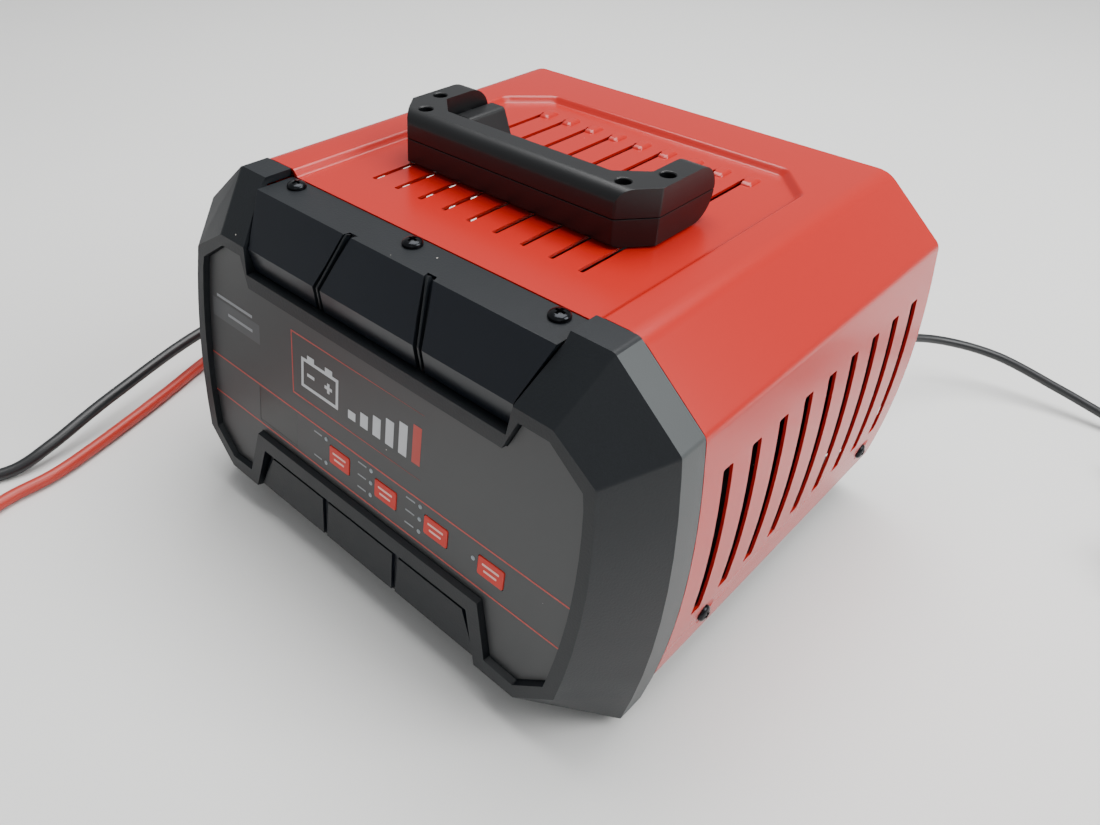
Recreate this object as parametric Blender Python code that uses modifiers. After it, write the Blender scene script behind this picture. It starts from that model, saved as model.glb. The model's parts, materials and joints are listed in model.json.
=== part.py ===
"""Car battery charger: a folded sheet cover on a tray, a moulded front, a folding handle, leads."""
import math

import bmesh
import bpy
from mathutils import Matrix, Vector

# Lengths are in millimetres; x to the right, y to the back, z up from the floor.
BODY_FRONT_Y = -83.75
BODY_BACK_Y = 114.25
TOP_Z = 167.0
BAND_DEPTH = 13.4
GAP = 0.3
SHEET = 1.2
FLAT_HALF = 100.0
FOLD_HALF = 128.7
FOLD_DROP = 25.0
BODY_DROP = 162.3
COVER_DROP = 143.9
PANEL_DROP = 3.0
PANEL = ((-81.5, 149.0), (-63.0, 168.0), (68.0, 168.5), (85.5, 149.0))
TOP_SLOTS, TOP_SLOT_X, TOP_SLOT_STEP = 9, -55.0, 14.1
TOP_SLOT_Y, TOP_SLOT_WIDTH = (36.4, 148.4), 2.6
SIDE_SLOTS, SIDE_SLOT_Y, SIDE_SLOT_STEP = 9, 29.5, 18.9
SIDE_SLOT_DROP, SIDE_SLOT_WIDTH = (45.3, 118.0), 6.4
SIDE_SCREW_Y, SIDE_SCREW_DROP = (41.0, 179.0), 130.0
TRIM_SCREW_X, TRIM_SCREW_Y = (-71.7, 0.0, 71.7), 8.0
FACE_Y, FACE_Z, FACE_LEAN = -18.8, -22.7, 12.68 / 136.4
PANEL_SET = 2.8
POCKET_SET, PAD_SET = 5.0, 2.0
PADS = ((-62.0, -25.0, -71.0, -24.0), (-21.2, 21.2, -21.8, 21.8), (25.0, 62.0, 24.0, 71.0))
BUTTON_X = tuple(-14.4 + 29.3 * i for i in range(4))
BUTTON_SIZE, BUTTON_DROP = (13.6, 9.4), 100.8
BUTTON_TRAVEL = 0.8
LED_DROPS = ((95.0, 107.6), (94.4, 100.7, 107.0), (94.4, 100.7, 107.0), (100.2,))
LED_OFFSET, LED_RADIUS = -9.2, 1.3
WINDOW = (-72.0, -43.8, 110.4, 92.9)
HANDLE_HALF, HANDLE_LEG, HANDLE_FRONT_Y, HANDLE_BAR_BACK = 66.5, 11.5, 56.8, 70.0
HANDLE_TOP, HANDLE_UNDER, AXIS_Y, AXIS_UP = 21.5, -2.2, 96.2, 9.65
FOOT_X, FOOT_Y, FOOT_RADIUS = 92.0, (22.0, 176.0), 8.0
LEAD_RADIUS, MAINS_RADIUS = 3.25, 2.5
LEAD_COIL, MAINS_COIL = 36.0, 28.0

MODEL = "car_battery_charger"
MATERIALS = {
    "red_paint": ((0.62, 0.06, 0.035), 0.25, 0.0),
    "black_plastic": ((0.03, 0.035, 0.04), 0.6, 0.0),
    "grey_fascia": ((0.06, 0.062, 0.065), 0.5, 0.0),
    "smoked_window": ((0.05, 0.052, 0.055), 0.3, 0.0),
    "red_button": ((0.6, 0.05, 0.035), 0.5, 0.0),
    "clear_guide": ((0.7, 0.72, 0.72), 0.3, 0.0),
    "black_screw": ((0.03, 0.03, 0.03), 0.3, 0.9),
    "steel": ((0.55, 0.55, 0.56), 0.35, 1.0),
    "rubber": ((0.02, 0.02, 0.02), 0.85, 0.0),
    "board": ((0.03, 0.16, 0.06), 0.6, 0.0),
    "core": ((0.5, 0.42, 0.2), 0.6, 0.0),
    "aluminium": ((0.75, 0.76, 0.77), 0.4, 1.0),
    "black_cable": ((0.02, 0.02, 0.022), 0.6, 0.0),
    "red_cable": ((0.5, 0.04, 0.025), 0.6, 0.0),
}


def clear_scene():
    """Remove what the start-up file holds."""
    for obj in list(bpy.data.objects):
        bpy.data.objects.remove(obj, do_unlink=True)


def material(name):
    """The Principled material of that name, made once."""
    found = bpy.data.materials.get(name)
    if found:
        return found
    colour, rough, metal = MATERIALS[name]
    made = bpy.data.materials.new(name)
    made.use_nodes = True
    shader = made.node_tree.nodes["Principled BSDF"]
    shader.inputs["Base Color"].default_value = (*colour, 1.0)
    shader.inputs["Roughness"].default_value = rough
    shader.inputs["Metallic"].default_value = metal
    made.diffuse_color = (*colour, 1.0)
    return made


def place(x, y, z):
    """A point in metres from x, y behind the body's front edge and z from the top, all in mm."""
    return Vector((x, y + BODY_FRONT_Y, z + TOP_Z)) * 0.001


def to_object(name, mesh_or_bm):
    """An object in the model's collection from a bmesh or a mesh."""
    if isinstance(mesh_or_bm, bmesh.types.BMesh):
        bmesh.ops.recalc_face_normals(mesh_or_bm, faces=mesh_or_bm.faces[:])
        mesh = bpy.data.meshes.new(name)
        mesh_or_bm.to_mesh(mesh)
        mesh_or_bm.free()
    else:
        mesh = mesh_or_bm
    obj = bpy.data.objects.new(name, mesh)
    bpy.data.collections[MODEL].objects.link(obj)
    return obj


def add_rings(bm, rings):
    """Join rings of equal length with quads and close both ends."""
    loops = [[bm.verts.new(place(*p)) for p in ring] for ring in rings]
    count = len(loops[0])
    for low, high in zip(loops, loops[1:]):
        for i in range(count):
            j = (i + 1) % count
            bm.faces.new((low[i], low[j], high[j], high[i]))
    bm.faces.new(loops[0][::-1])
    bm.faces.new(loops[-1])


def loft(name, *sets):
    """One object from one or more lists of rings."""
    bm = bmesh.new()
    for rings in sets:
        add_rings(bm, rings)
    return to_object(name, bm)


def along_y(points, y0, y1):
    """Rings of an outline in x and z drawn out along y."""
    return [[(x, y, z) for x, z in points] for y in (y0, y1)]


def along_x(points, x0, x1):
    """Rings of an outline in y and z drawn out along x."""
    return [[(x, y, z) for y, z in points] for x in (x0, x1)]


def along_z(points, z0, z1):
    """Rings of an outline in x and y drawn out along z."""
    return [[(x, y, z) for x, y in points] for z in (z0, z1)]


def rect(a0, a1, b0, b1):
    """Corners of a rectangle."""
    return [(a0, b0), (a1, b0), (a1, b1), (a0, b1)]


def block(x0, x1, y0, y1, z0, z1):
    """Rings of a box."""
    return along_z(rect(x0, x1, y0, y1), z0, z1)


def disc(a, b, radius, count=24, start=0.0):
    """Points of a circle in a plane."""
    step = 2 * math.pi / count
    return [(a + radius * math.cos(start + step * i), b + radius * math.sin(start + step * i))
            for i in range(count)]


def stadium(a, b0, b1, width, count=4):
    """A slot outline along the second coordinate with round ends."""
    r = width / 2
    low = [(a - r * math.cos(math.pi * i / count), b0 + r - r * math.sin(math.pi * i / count))
           for i in range(count + 1)]
    high = [(a + r * math.cos(math.pi * i / count), b1 - r + r * math.sin(math.pi * i / count))
            for i in range(count + 1)]
    return low + high


def long_slot(a, b0, b1, width, corner=0.9):
    """A slot outline with nearly square ends."""
    w, c = width / 2, corner
    return [(a - w, b0 + c), (a - w + c, b0), (a + w - c, b0), (a + w, b0 + c),
            (a + w, b1 - c), (a + w - c, b1), (a - w + c, b1), (a - w, b1 - c)]


def applied(obj):
    """Replace an object's mesh by the result of its modifiers."""
    graph = bpy.context.evaluated_depsgraph_get()
    mesh = bpy.data.meshes.new_from_object(obj.evaluated_get(graph))
    old = obj.data
    obj.modifiers.clear()
    obj.data = mesh
    bpy.data.meshes.remove(old)
    return obj


def combine(obj, other, operation="DIFFERENCE"):
    """Boolean with another object, which is used up."""
    mod = obj.modifiers.new("cut", "BOOLEAN")
    mod.operation = operation
    mod.solver = "EXACT"
    mod.object = other
    applied(obj)
    bpy.data.objects.remove(other, do_unlink=True)
    bm = bmesh.new()
    bm.from_mesh(obj.data)
    bmesh.ops.remove_doubles(bm, verts=bm.verts[:], dist=2e-6)
    bmesh.ops.dissolve_degenerate(bm, dist=2e-6, edges=bm.edges[:])
    bm.to_mesh(obj.data)
    bm.free()
    return obj


def cut(obj, *sets):
    """Cut closed rings out of an object."""
    return combine(obj, loft("cutter", *sets))


def bevel(obj, width, segments=2, angle=30.0):
    """Round an object's sharp edges."""
    mod = obj.modifiers.new("round", "BEVEL")
    mod.width = width * 0.001
    mod.segments = segments
    mod.limit_method = "ANGLE"
    mod.angle_limit = math.radians(angle)
    mod.use_clamp_overlap = True
    return applied(obj)


def finish(obj, colour, smooth=35.0):
    """Give a piece its colour and shading."""
    obj.data.materials.clear()
    obj.data.materials.append(material(colour))
    for face in obj.data.polygons:
        face.material_index = 0
        face.use_smooth = smooth > 0
    if smooth > 0:
        obj.data.set_sharp_from_angle(angle=math.radians(smooth))
    return obj


def pivot(obj, point):
    """Move an object's origin to a joint's centre, leaving its mesh in place."""
    origin = place(*point)
    obj.data.transform(Matrix.Translation(-origin))
    obj.location = origin
    return obj


def side_half(z):
    """Half width of the body at a height below the fold."""
    u = -FOLD_DROP - z
    return FOLD_HALF + 0.1366 * u - 0.001147 * u * u - 8.7e-7 * u ** 3


def spread(low, high, count):
    """Evenly spaced numbers with both ends."""
    return [low + (high - low) * i / (count - 1) for i in range(count)]


def half_outline(bottom, count=9):
    """Right half of the body's outline from its low edge up to the flat top."""
    pts = [(side_half(z), z) for z in spread(bottom, -FOLD_DROP - 5.0, count)]
    pts += [(128.95, -26.6), (127.2, -23.4), (122.5, -19.4)]
    pts += [(103.4, -2.9), (101.3, -1.3), (98.6, -0.4), (95.6, 0.0)]
    return pts


def inset(points, distance):
    """Move an open outline sideways by a distance, to its left as it runs."""
    out = []
    for i, p in enumerate(points):
        a = Vector(points[max(i - 1, 0)])
        b = Vector(points[min(i + 1, len(points) - 1)])
        d = (b - a).normalized()
        n = Vector((-d.y, d.x))
        out.append((p[0] + n.x * distance, p[1] + n.y * distance))
    return out


def mirrored(half):
    """A right half followed by its mirror image."""
    return half + [(-x, z) for x, z in reversed(half)]


def face_y(z):
    """Where the front frame's plane lies at a height."""
    return FACE_Y + FACE_LEAN * (z - FACE_Z)


def frame_half(z):
    """Half width of the front frame at a height."""
    return 116.3 - 0.00189 * (z + 82.0) ** 2


def panel_outline(shrink):
    """The sunk top panel, smaller by a margin, open to the front."""
    (x0, y0), (x1, y1), (x2, y2), (x3, y3) = PANEL
    s = shrink
    return [(x0 + s, 5.0), (x3 - s, 5.0), (x3 - s, y3 - s * 0.4), (x2 - s * 0.4, y2 - s),
            (x1 + s * 0.4, y1 - s), (x0 + s, y0 - s * 0.4)]


def make_cover():
    """The folded red cover with its slots."""
    outer = half_outline(-COVER_DROP)
    inner = inset(outer, SHEET)
    front, back = BAND_DEPTH + GAP, BODY_BACK_Y - BODY_FRONT_Y
    ring = mirrored(outer) + mirrored(inner)[::-1]
    cover = loft("cover_shell", along_y(ring, front, back))
    low = [[(x, y, z) for x, y in panel_outline(s)] for s, z in
           ((2.2 - SHEET, -PANEL_DROP - SHEET), (-SHEET, -0.4))]
    combine(cover, loft("tub", [[(x, max(y, front), z) for x, y, z in r] for r in low]), "UNION")
    up = [[(x, y, z) for x, y in panel_outline(s)] for s, z in
          ((2.2, -PANEL_DROP), (0.0, 0.0), (0.0, 3.0))]
    cut(cover, up)
    slots = [along_z(stadium(TOP_SLOT_X + TOP_SLOT_STEP * i, *TOP_SLOT_Y, TOP_SLOT_WIDTH),
                     -9.0, 3.0) for i in range(TOP_SLOTS)]
    cut(cover, *slots)
    top, low_z = SIDE_SLOT_DROP
    slots = [along_x(long_slot(SIDE_SLOT_Y + SIDE_SLOT_STEP * i, -low_z, -top, SIDE_SLOT_WIDTH),
                     -140.0, 140.0) for i in range(SIDE_SLOTS)]
    cut(cover, *slots)
    cut(cover, *[along_x(disc(y, -SIDE_SCREW_DROP, 2.3, 16), -140.0, 140.0)
                 for y in SIDE_SCREW_Y])
    return finish(cover, "red_paint")


def make_tray():
    """The black tray under the cover."""
    curve = [(side_half(z) - SHEET - GAP, z) for z in spread(-BODY_DROP + 18.5, -118.0, 5)]
    outer = [(107.0, -BODY_DROP)] + curve
    inner = inset(outer, 2.0)
    inner[0] = (106.0, -BODY_DROP + 2.0)
    ring = outer + inner[::-1] + [(-x, z) for x, z in inner] + [(-x, z) for x, z in outer[::-1]]
    tray = loft("base_tray", along_y(ring, BAND_DEPTH + GAP, 197.6))
    cut(tray, *[along_x(disc(y, -SIDE_SCREW_DROP, 1.6, 12), -140.0, 140.0)
                for y in SIDE_SCREW_Y],
        *[along_z(disc(sx * FOOT_X, y, 2.2, 12), -166.0, -155.0)
          for sx in (-1, 1) for y in FOOT_Y])
    return finish(tray, "black_plastic")


def make_rear_panel():
    """The rear panel with its fan grille and lead holes."""
    outer = inset(half_outline(-COVER_DROP + 2.0), SHEET + GAP)
    outer = [(x, min(z, -PANEL_DROP - SHEET - 2.2)) for x, z in outer]
    half = [(104.0, -BODY_DROP + 2.3), (side_half(-139.0) - 5.2, -139.0)]
    half += [(x - (2.4 if z < -112.0 else 0.0), z) for x, z in outer if z > -138.0]
    panel = loft("rear_panel", along_y(mirrored(half), 194.6, 196.2))
    slots = []
    for i in range(-4, 5):
        reach = math.sqrt(27.0 ** 2 - (6.0 * i) ** 2)
        slots.append(along_y([(x, z) for z, x in
                              stadium(-62.0 + 6.0 * i, -reach, reach, 3.4)], 190.0, 200.0))
    cut(panel, *slots)
    holes = [(-88.0, -128.0, 5.2), (-66.0, -128.0, 5.2), (88.0, -125.0, 4.4)]
    cut(panel, *[along_y(disc(x, z, r, 20), 190.0, 200.0) for x, z, r in holes])
    return finish(panel, "black_plastic")


def bezel_rings(shrink, y0, y1, face):
    """Outline rings of the moulded front: band back, band front and frame."""
    def outline(pull):
        half = [(side_half(z), z) for z in spread(-BODY_DROP, -FOLD_DROP - 1.5, 9)]
        half += [(128.0, -24.0), (101.0, -0.6), (99.2, 0.0)]
        return [(x * (1 - pull / 128.0), -80.0 + (z + 80.0) * (1 - pull / 80.0))
                for x, z in mirrored(half)]

    def frame(pull):
        half = [(93.4, -148.6), (110.3, -135.6)]
        half += [(frame_half(z), z) for z in spread(-132.0, -37.4, 7)]
        half += [(111.4, -35.6), (94.2, -24.5), (92.4, -23.9)]
        return [(x * (1 - pull / 112.0), -88.0 + (z + 88.0) * (1 - pull / 62.0))
                for x, z in mirrored(half)]

    back = [(x, y0, z) for x, z in outline(shrink)]
    mid = [(x, y1, z) for x, z in outline(shrink)]
    front = [(x, face_y(z) + face, z) for x, z in frame(shrink)]
    return [back, mid, front]


def trim_profile(grow):
    """Side profile of the upper trim; grow moves its underside down and back."""
    g = grow
    return [(BAND_DEPTH, -3.4 - 4.2 - g), (-2.6 + 0.4 * g, -3.4 - 4.2 - g),
            (-12.9 + g, -25.6 - 0.2 * g), (-11.6 + g, -36.1 - g)]


def trim_sides(margin):
    """Front outline of the space between the cheeks, smaller by a margin."""
    m = margin
    return [(74.6 - m, -36.1 + m), (76.3 - m, -22.7), (82.6 - m, -3.4), (82.6 - m, 6.0),
            (-82.6 + m, 6.0), (-82.6 + m, -3.4), (-76.3 + m, -22.7), (-74.6 + m, -36.1 + m)]


def fascia_outline(margin):
    """Half outline of the fascia panel, inset by a margin."""
    m = margin
    half = [(70.9 + m * 0.4, -116.4 + m), (77.9 + m, -141.6 + m), (92.2 - m * 0.2, -142.2 + m),
            (105.4 - m, -131.2 + m * 0.4)]
    half += [(110.7 - 0.0019 * (z + 78.0) ** 2 - m, z) for z in spread(-124.0, -46.0, 5)]
    half += [(107.5 - m, -40.3 - m * 0.5), (92.3 - m * 0.3, -29.3 - m), (79.4 + m * 0.7, -29.3 - m),
             (73.8 + m * 0.3, -42.6 - m)]
    return half


def sheared(points, off0, off1):
    """Rings that follow the front frame's tilted plane at two depths behind it."""
    return [[(x, face_y(z) + off, z) for x, z in points] for off in (off0, off1)]


def make_bezel():
    """The black moulded front."""
    bezel = loft("front_bezel", bezel_rings(0.0, BAND_DEPTH, 0.0, 0.0))
    hollow = bezel_rings(3.2, 20.0, 0.6, 6.6)
    cut(bezel, hollow)
    shelf = [(20.0, 5.0)] + [(20.0, -3.4 - 4.2 - GAP)] + trim_profile(GAP)[1:]
    shelf += [(-11.6 + GAP, -36.4), (-40.0, -36.4), (-40.0, 5.0)]
    wedge = loft("wedge", along_y(trim_sides(0.0), -45.0, 25.0))
    tool = loft("shelf", along_x(shelf, -90.0, 90.0))
    combine(wedge, tool, "INTERSECT")
    combine(bezel, wedge)
    cut(bezel, sheared(mirrored(fascia_outline(0.0)), -5.0, PANEL_SET + 1.7))
    cut(bezel, sheared(mirrored(fascia_outline(3.4)), -5.0, 12.0))
    cut(bezel, sheared([(-65.6, -124.0), (65.6, -124.0), (75.4, -158.0), (-75.4, -158.0)],
                       -5.0, POCKET_SET))
    return finish(bezel, "black_plastic")


def make_upper_trim():
    """The bar across the top of the front, with three sloping pads."""
    top = [(BAND_DEPTH, -3.4), (-5.3, -3.4), (-17.4, -24.6), (-15.8, -35.9)]
    ring = trim_profile(0.0) + top[::-1]
    body = loft("upper_trim", along_x(ring, -90.0, 90.0))
    combine(body, loft("sides", along_y(trim_sides(1.0), -45.0, 25.0)), "INTERSECT")
    for s in (-1, 1):
        w = 1.9
        outer = [(-3.6, 0.5, 21.6), (-7.6, -2.4, 23.0), (-20.4, -24.4, 29.0), (-18.6, -40.0, 29.4)]
        inner = [(-2.2, -5.2, 21.8), (-3.3, -6.0, 22.6), (-14.6, -25.2, 29.0), (-13.4, -40.0, 29.4)]
        rings = []
        for (yo, zo, xo), (yi, zi, xi) in zip(outer, inner):
            rings.append([(s * xo - w, yo, zo), (s * xo + w, yo, zo),
                          (s * xi + w, yi, zi), (s * xi - w, yi, zi)])
        cut(body, rings)
    cut(body, *[along_z(disc(x, TRIM_SCREW_Y, 2.0, 16), -12.0, 0.0) for x in TRIM_SCREW_X])
    return finish(body, "black_plastic")


def make_lower_trim():
    """Three pads on one strip in the pocket under the fascia."""
    strip = [(-64.6, -126.9), (64.6, -126.9), (72.0, -146.4), (-72.0, -146.4)]
    bar = loft("lower_trim", sheared(strip, POCKET_SET - 1.4, POCKET_SET - GAP))
    for x0, x1, x2, x3 in PADS:
        pad = [(x0, -128.0), (x1, -128.0), (x3, -147.4), (x2, -147.4)]
        combine(bar, loft("pad", sheared(pad, PAD_SET, POCKET_SET - 1.0)), "UNION")
    return finish(bevel(bar, 0.4, 1), "black_plastic")


def make_fascia():
    """The printed control panel, with holes for keys, lights and window."""
    fascia = loft("fascia_panel", sheared(mirrored(fascia_outline(GAP)), PANEL_SET, PANEL_SET + 1.4))
    x0, x1, z0, z1 = WINDOW
    holes = [sheared(rect(x0, x1, -z0, -z1), -3.0, 9.0)]
    w, h = BUTTON_SIZE
    for x, drops in zip(BUTTON_X, LED_DROPS):
        holes.append(sheared(rect(x - w / 2, x + w / 2, -BUTTON_DROP - h / 2,
                                  -BUTTON_DROP + h / 2), -3.0, 9.0))
        holes += [sheared(disc(x + LED_OFFSET, -d, LED_RADIUS, 12), -3.0, 9.0) for d in drops]
    cut(fascia, *holes)
    return finish(fascia, "grey_fascia")


def make_window():
    """The tinted display window, held by a flange behind the panel."""
    x0, x1, z0, z1 = WINDOW
    g = GAP
    d = PANEL_SET
    pane = sheared(rect(x0 + g, x1 - g, -z0 + g, -z1 - g), d + 0.2, d + 1.8)
    flange = sheared(rect(x0 - 1.6, x1 + 1.6, -z0 - 1.6, -z1 + 1.6), d + 1.7, d + 2.9)
    window = loft("display_window", pane)
    combine(window, loft("flange", flange), "UNION")
    return finish(window, "smoked_window")


def make_button(index):
    """One sprung key; its stem runs back to the board's switch."""
    x, (w, h), g, d = BUTTON_X[index], BUTTON_SIZE, GAP, PANEL_SET
    zc = -BUTTON_DROP
    cap = sheared(rect(x - w / 2 + g, x + w / 2 - g, zc - h / 2 + g, zc + h / 2 - g), d - 0.4,
                  d + 2.3)
    key = loft("button_%d" % (index + 1), cap)
    bevel(key, 0.35, 2, 40.0)
    flange = sheared(rect(x - w / 2 - 0.9, x + w / 2 + 0.9, zc - h / 2 - 0.9, zc + h / 2 + 0.9),
                     d + 1.7, d + 3.1)
    combine(key, loft("flange", flange), "UNION")
    combine(key, loft("stem", sheared(disc(x, zc, 1.6, 12), d + 2.7, d + 6.5)), "UNION")
    pivot(key, (x, face_y(zc) + 3.0, zc))
    return finish(key, "red_button")


def make_guide(index):
    """A clear light guide with a post for each light."""
    x = BUTTON_X[index] + LED_OFFSET
    drops = LED_DROPS[index]
    low, high = -max(drops) - 2.2, -min(drops) + 2.2
    guide = loft("led_guide_%d" % (index + 1),
                 sheared(rect(x - 1.6, x + 1.14, low, high), PANEL_SET + 2.5, PANEL_SET + 4.7))
    for d in drops:
        post = sheared(disc(x, -d, LED_RADIUS - GAP, 12, 0.1), PANEL_SET - 0.1, PANEL_SET + 3.2)
        combine(guide, loft("post", post), "UNION")
    return finish(guide, "clear_guide")


def handle_outline(margin=0.0):
    """Plan of the handle: a bar with chamfered corners and two legs."""
    h, leg, front, back = HANDLE_HALF, HANDLE_LEG, HANDLE_FRONT_Y, HANDLE_BAR_BACK
    end = AXIS_Y + 16.0
    half = [(0.0, front), (h - 11.0, front), (h - 1.2, front + 11.6), (h, front + 14.0),
            (h, end), (h - leg, end), (h - leg, back + 10.5), (h - leg - 11.5, back), (0.0, back)]
    return half[:-1] + [(0.0, back)] + [(-x, y) for x, y in half[::-1][1:-1]]


def make_handle(upper):
    """One of the handle's two clamshell halves."""
    mid = AXIS_UP
    name = "handle_upper" if upper else "handle_lower"
    z0, z1 = (mid + GAP / 2, 40.0) if upper else (-20.0, mid - GAP / 2)
    obj = loft(name, along_z(handle_outline(), z0, z1))
    r = 11.85
    arc = [(AXIS_Y + r * math.sin(math.radians(a)), mid + r * math.cos(math.radians(a)))
           for a in range(0, 181, 15)]
    round_edge = [(HANDLE_FRONT_Y + 6.0 - 6.0 * math.sin(math.radians(a)),
                   HANDLE_TOP - 6.0 + 6.0 * math.cos(math.radians(a))) for a in range(0, 91, 18)]
    low_edge = [(HANDLE_FRONT_Y, HANDLE_UNDER + 2.5), (HANDLE_FRONT_Y + 2.0, HANDLE_UNDER)]
    side = arc + low_edge[::-1] + round_edge[::-1]
    combine(obj, loft("side", along_x(side, -80.0, 80.0)), "INTERSECT")
    bores = [along_x(disc(AXIS_Y, mid, 3.05, 24), s * 52.0, s * 80.0) for s in (-1, 1)]
    cut(obj, *bores)
    holes = []
    for s in (-1, 1):
        for x, y in ((52.4, 65.3), (60.6, 82.0)):
            if upper:
                steps = ((1.9, 0.0), (1.9, HANDLE_TOP - 7.0), (3.3, HANDLE_TOP - 7.0), (3.3, 30.0))
                holes.append([[(a, b, z) for a, b in disc(s * x, y, r, 20)] for r, z in steps])
            else:
                holes.append(along_z(disc(s * x, y, 1.8, 16), 1.0, 30.0))
    cut(obj, *holes)
    pivot(obj, (0.0, AXIS_Y, AXIS_UP))
    return finish(obj, "black_plastic")


def make_bracket(side):
    """The block beside a leg that carries the handle's axle."""
    s = 1 if side == "right" else -1
    front, back, low, top = 85.6, 108.2, -PANEL_DROP + GAP, 13.6
    ring = [(s * 38.6, low), (s * 54.0, low), (s * 54.0, top), (s * 45.2, top)]
    obj = loft("pivot_bracket_" + side, along_y(ring, front, back))
    bevel(obj, 0.9, 2)
    cut(obj, along_x(disc(AXIS_Y, AXIS_UP, 3.05, 24), s * 43.0, s * 80.0))
    return finish(obj, "black_plastic")


def make_axle(side):
    """A steel axle between a bracket and a leg."""
    s = 1 if side == "right" else -1
    ring = along_x(disc(AXIS_Y, AXIS_UP, 3.0, 24), s * 43.6, s * 66.0)
    return finish(loft("handle_axle_" + side, ring), "steel")


def pan_screw(name, centre, axis, head, shank, length, colour="black_screw"):
    """A pan-head screw with a cross recess; its head sits on centre and points along axis."""
    bm = bmesh.new()
    profile = [(0.0, -length), (shank, -length + 0.6), (shank, 0.0), (head, 0.0),
               (head, head * 0.22), (head * 0.86, head * 0.45), (head * 0.55, head * 0.58),
               (0.0, head * 0.62)]
    count = 12
    rings = []
    for radius, height in profile:
        if radius == 0.0:
            rings.append([bm.verts.new((0, 0, height * 0.001))])
            continue
        rings.append([bm.verts.new((radius * 0.001 * math.cos(2 * math.pi * i / count),
                                    radius * 0.001 * math.sin(2 * math.pi * i / count),
                                    height * 0.001)) for i in range(count)])
    for low, high in zip(rings, rings[1:]):
        for i in range(count):
            j = (i + 1) % count
            if len(low) == 1:
                bm.faces.new((low[0], high[j], high[i]))
            elif len(high) == 1:
                bm.faces.new((low[i], low[j], high[0]))
            else:
                bm.faces.new((low[i], low[j], high[j], high[i]))
    turn = Vector((0, 0, 1)).rotation_difference(Vector(axis)).to_matrix().to_4x4()
    bm.transform(Matrix.Translation(place(*centre)) @ turn)
    obj = to_object(name, bm)
    c, a = place(*centre), Vector(axis).normalized()
    across = a.orthogonal().normalized()
    other = a.cross(across)
    for first, second in ((across, other), (other, across)):
        bar = bmesh.new()
        made = bmesh.ops.create_cube(bar, size=1.0)["verts"]
        for v in made:
            p = v.co.copy()
            v.co = (c + a * (head * 0.5 + p.z * head * 0.4) * 0.001
                    + first * p.x * head * 1.05 * 0.001 + second * p.y * head * 0.22 * 0.001)
        combine(obj, to_object("slot", bar))
    return finish(obj, colour)


def make_foot(name, x, y):
    """A rubber foot with a plug into the tray."""
    foot = loft(name, along_z(disc(x, y, FOOT_RADIUS, 20), -TOP_Z, -BODY_DROP - GAP))
    bevel(foot, 0.8, 1)
    combine(foot, loft("plug", along_z(disc(x, y, 1.9, 12), -164.0, -158.6)), "UNION")
    return finish(foot, "rubber")


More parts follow.
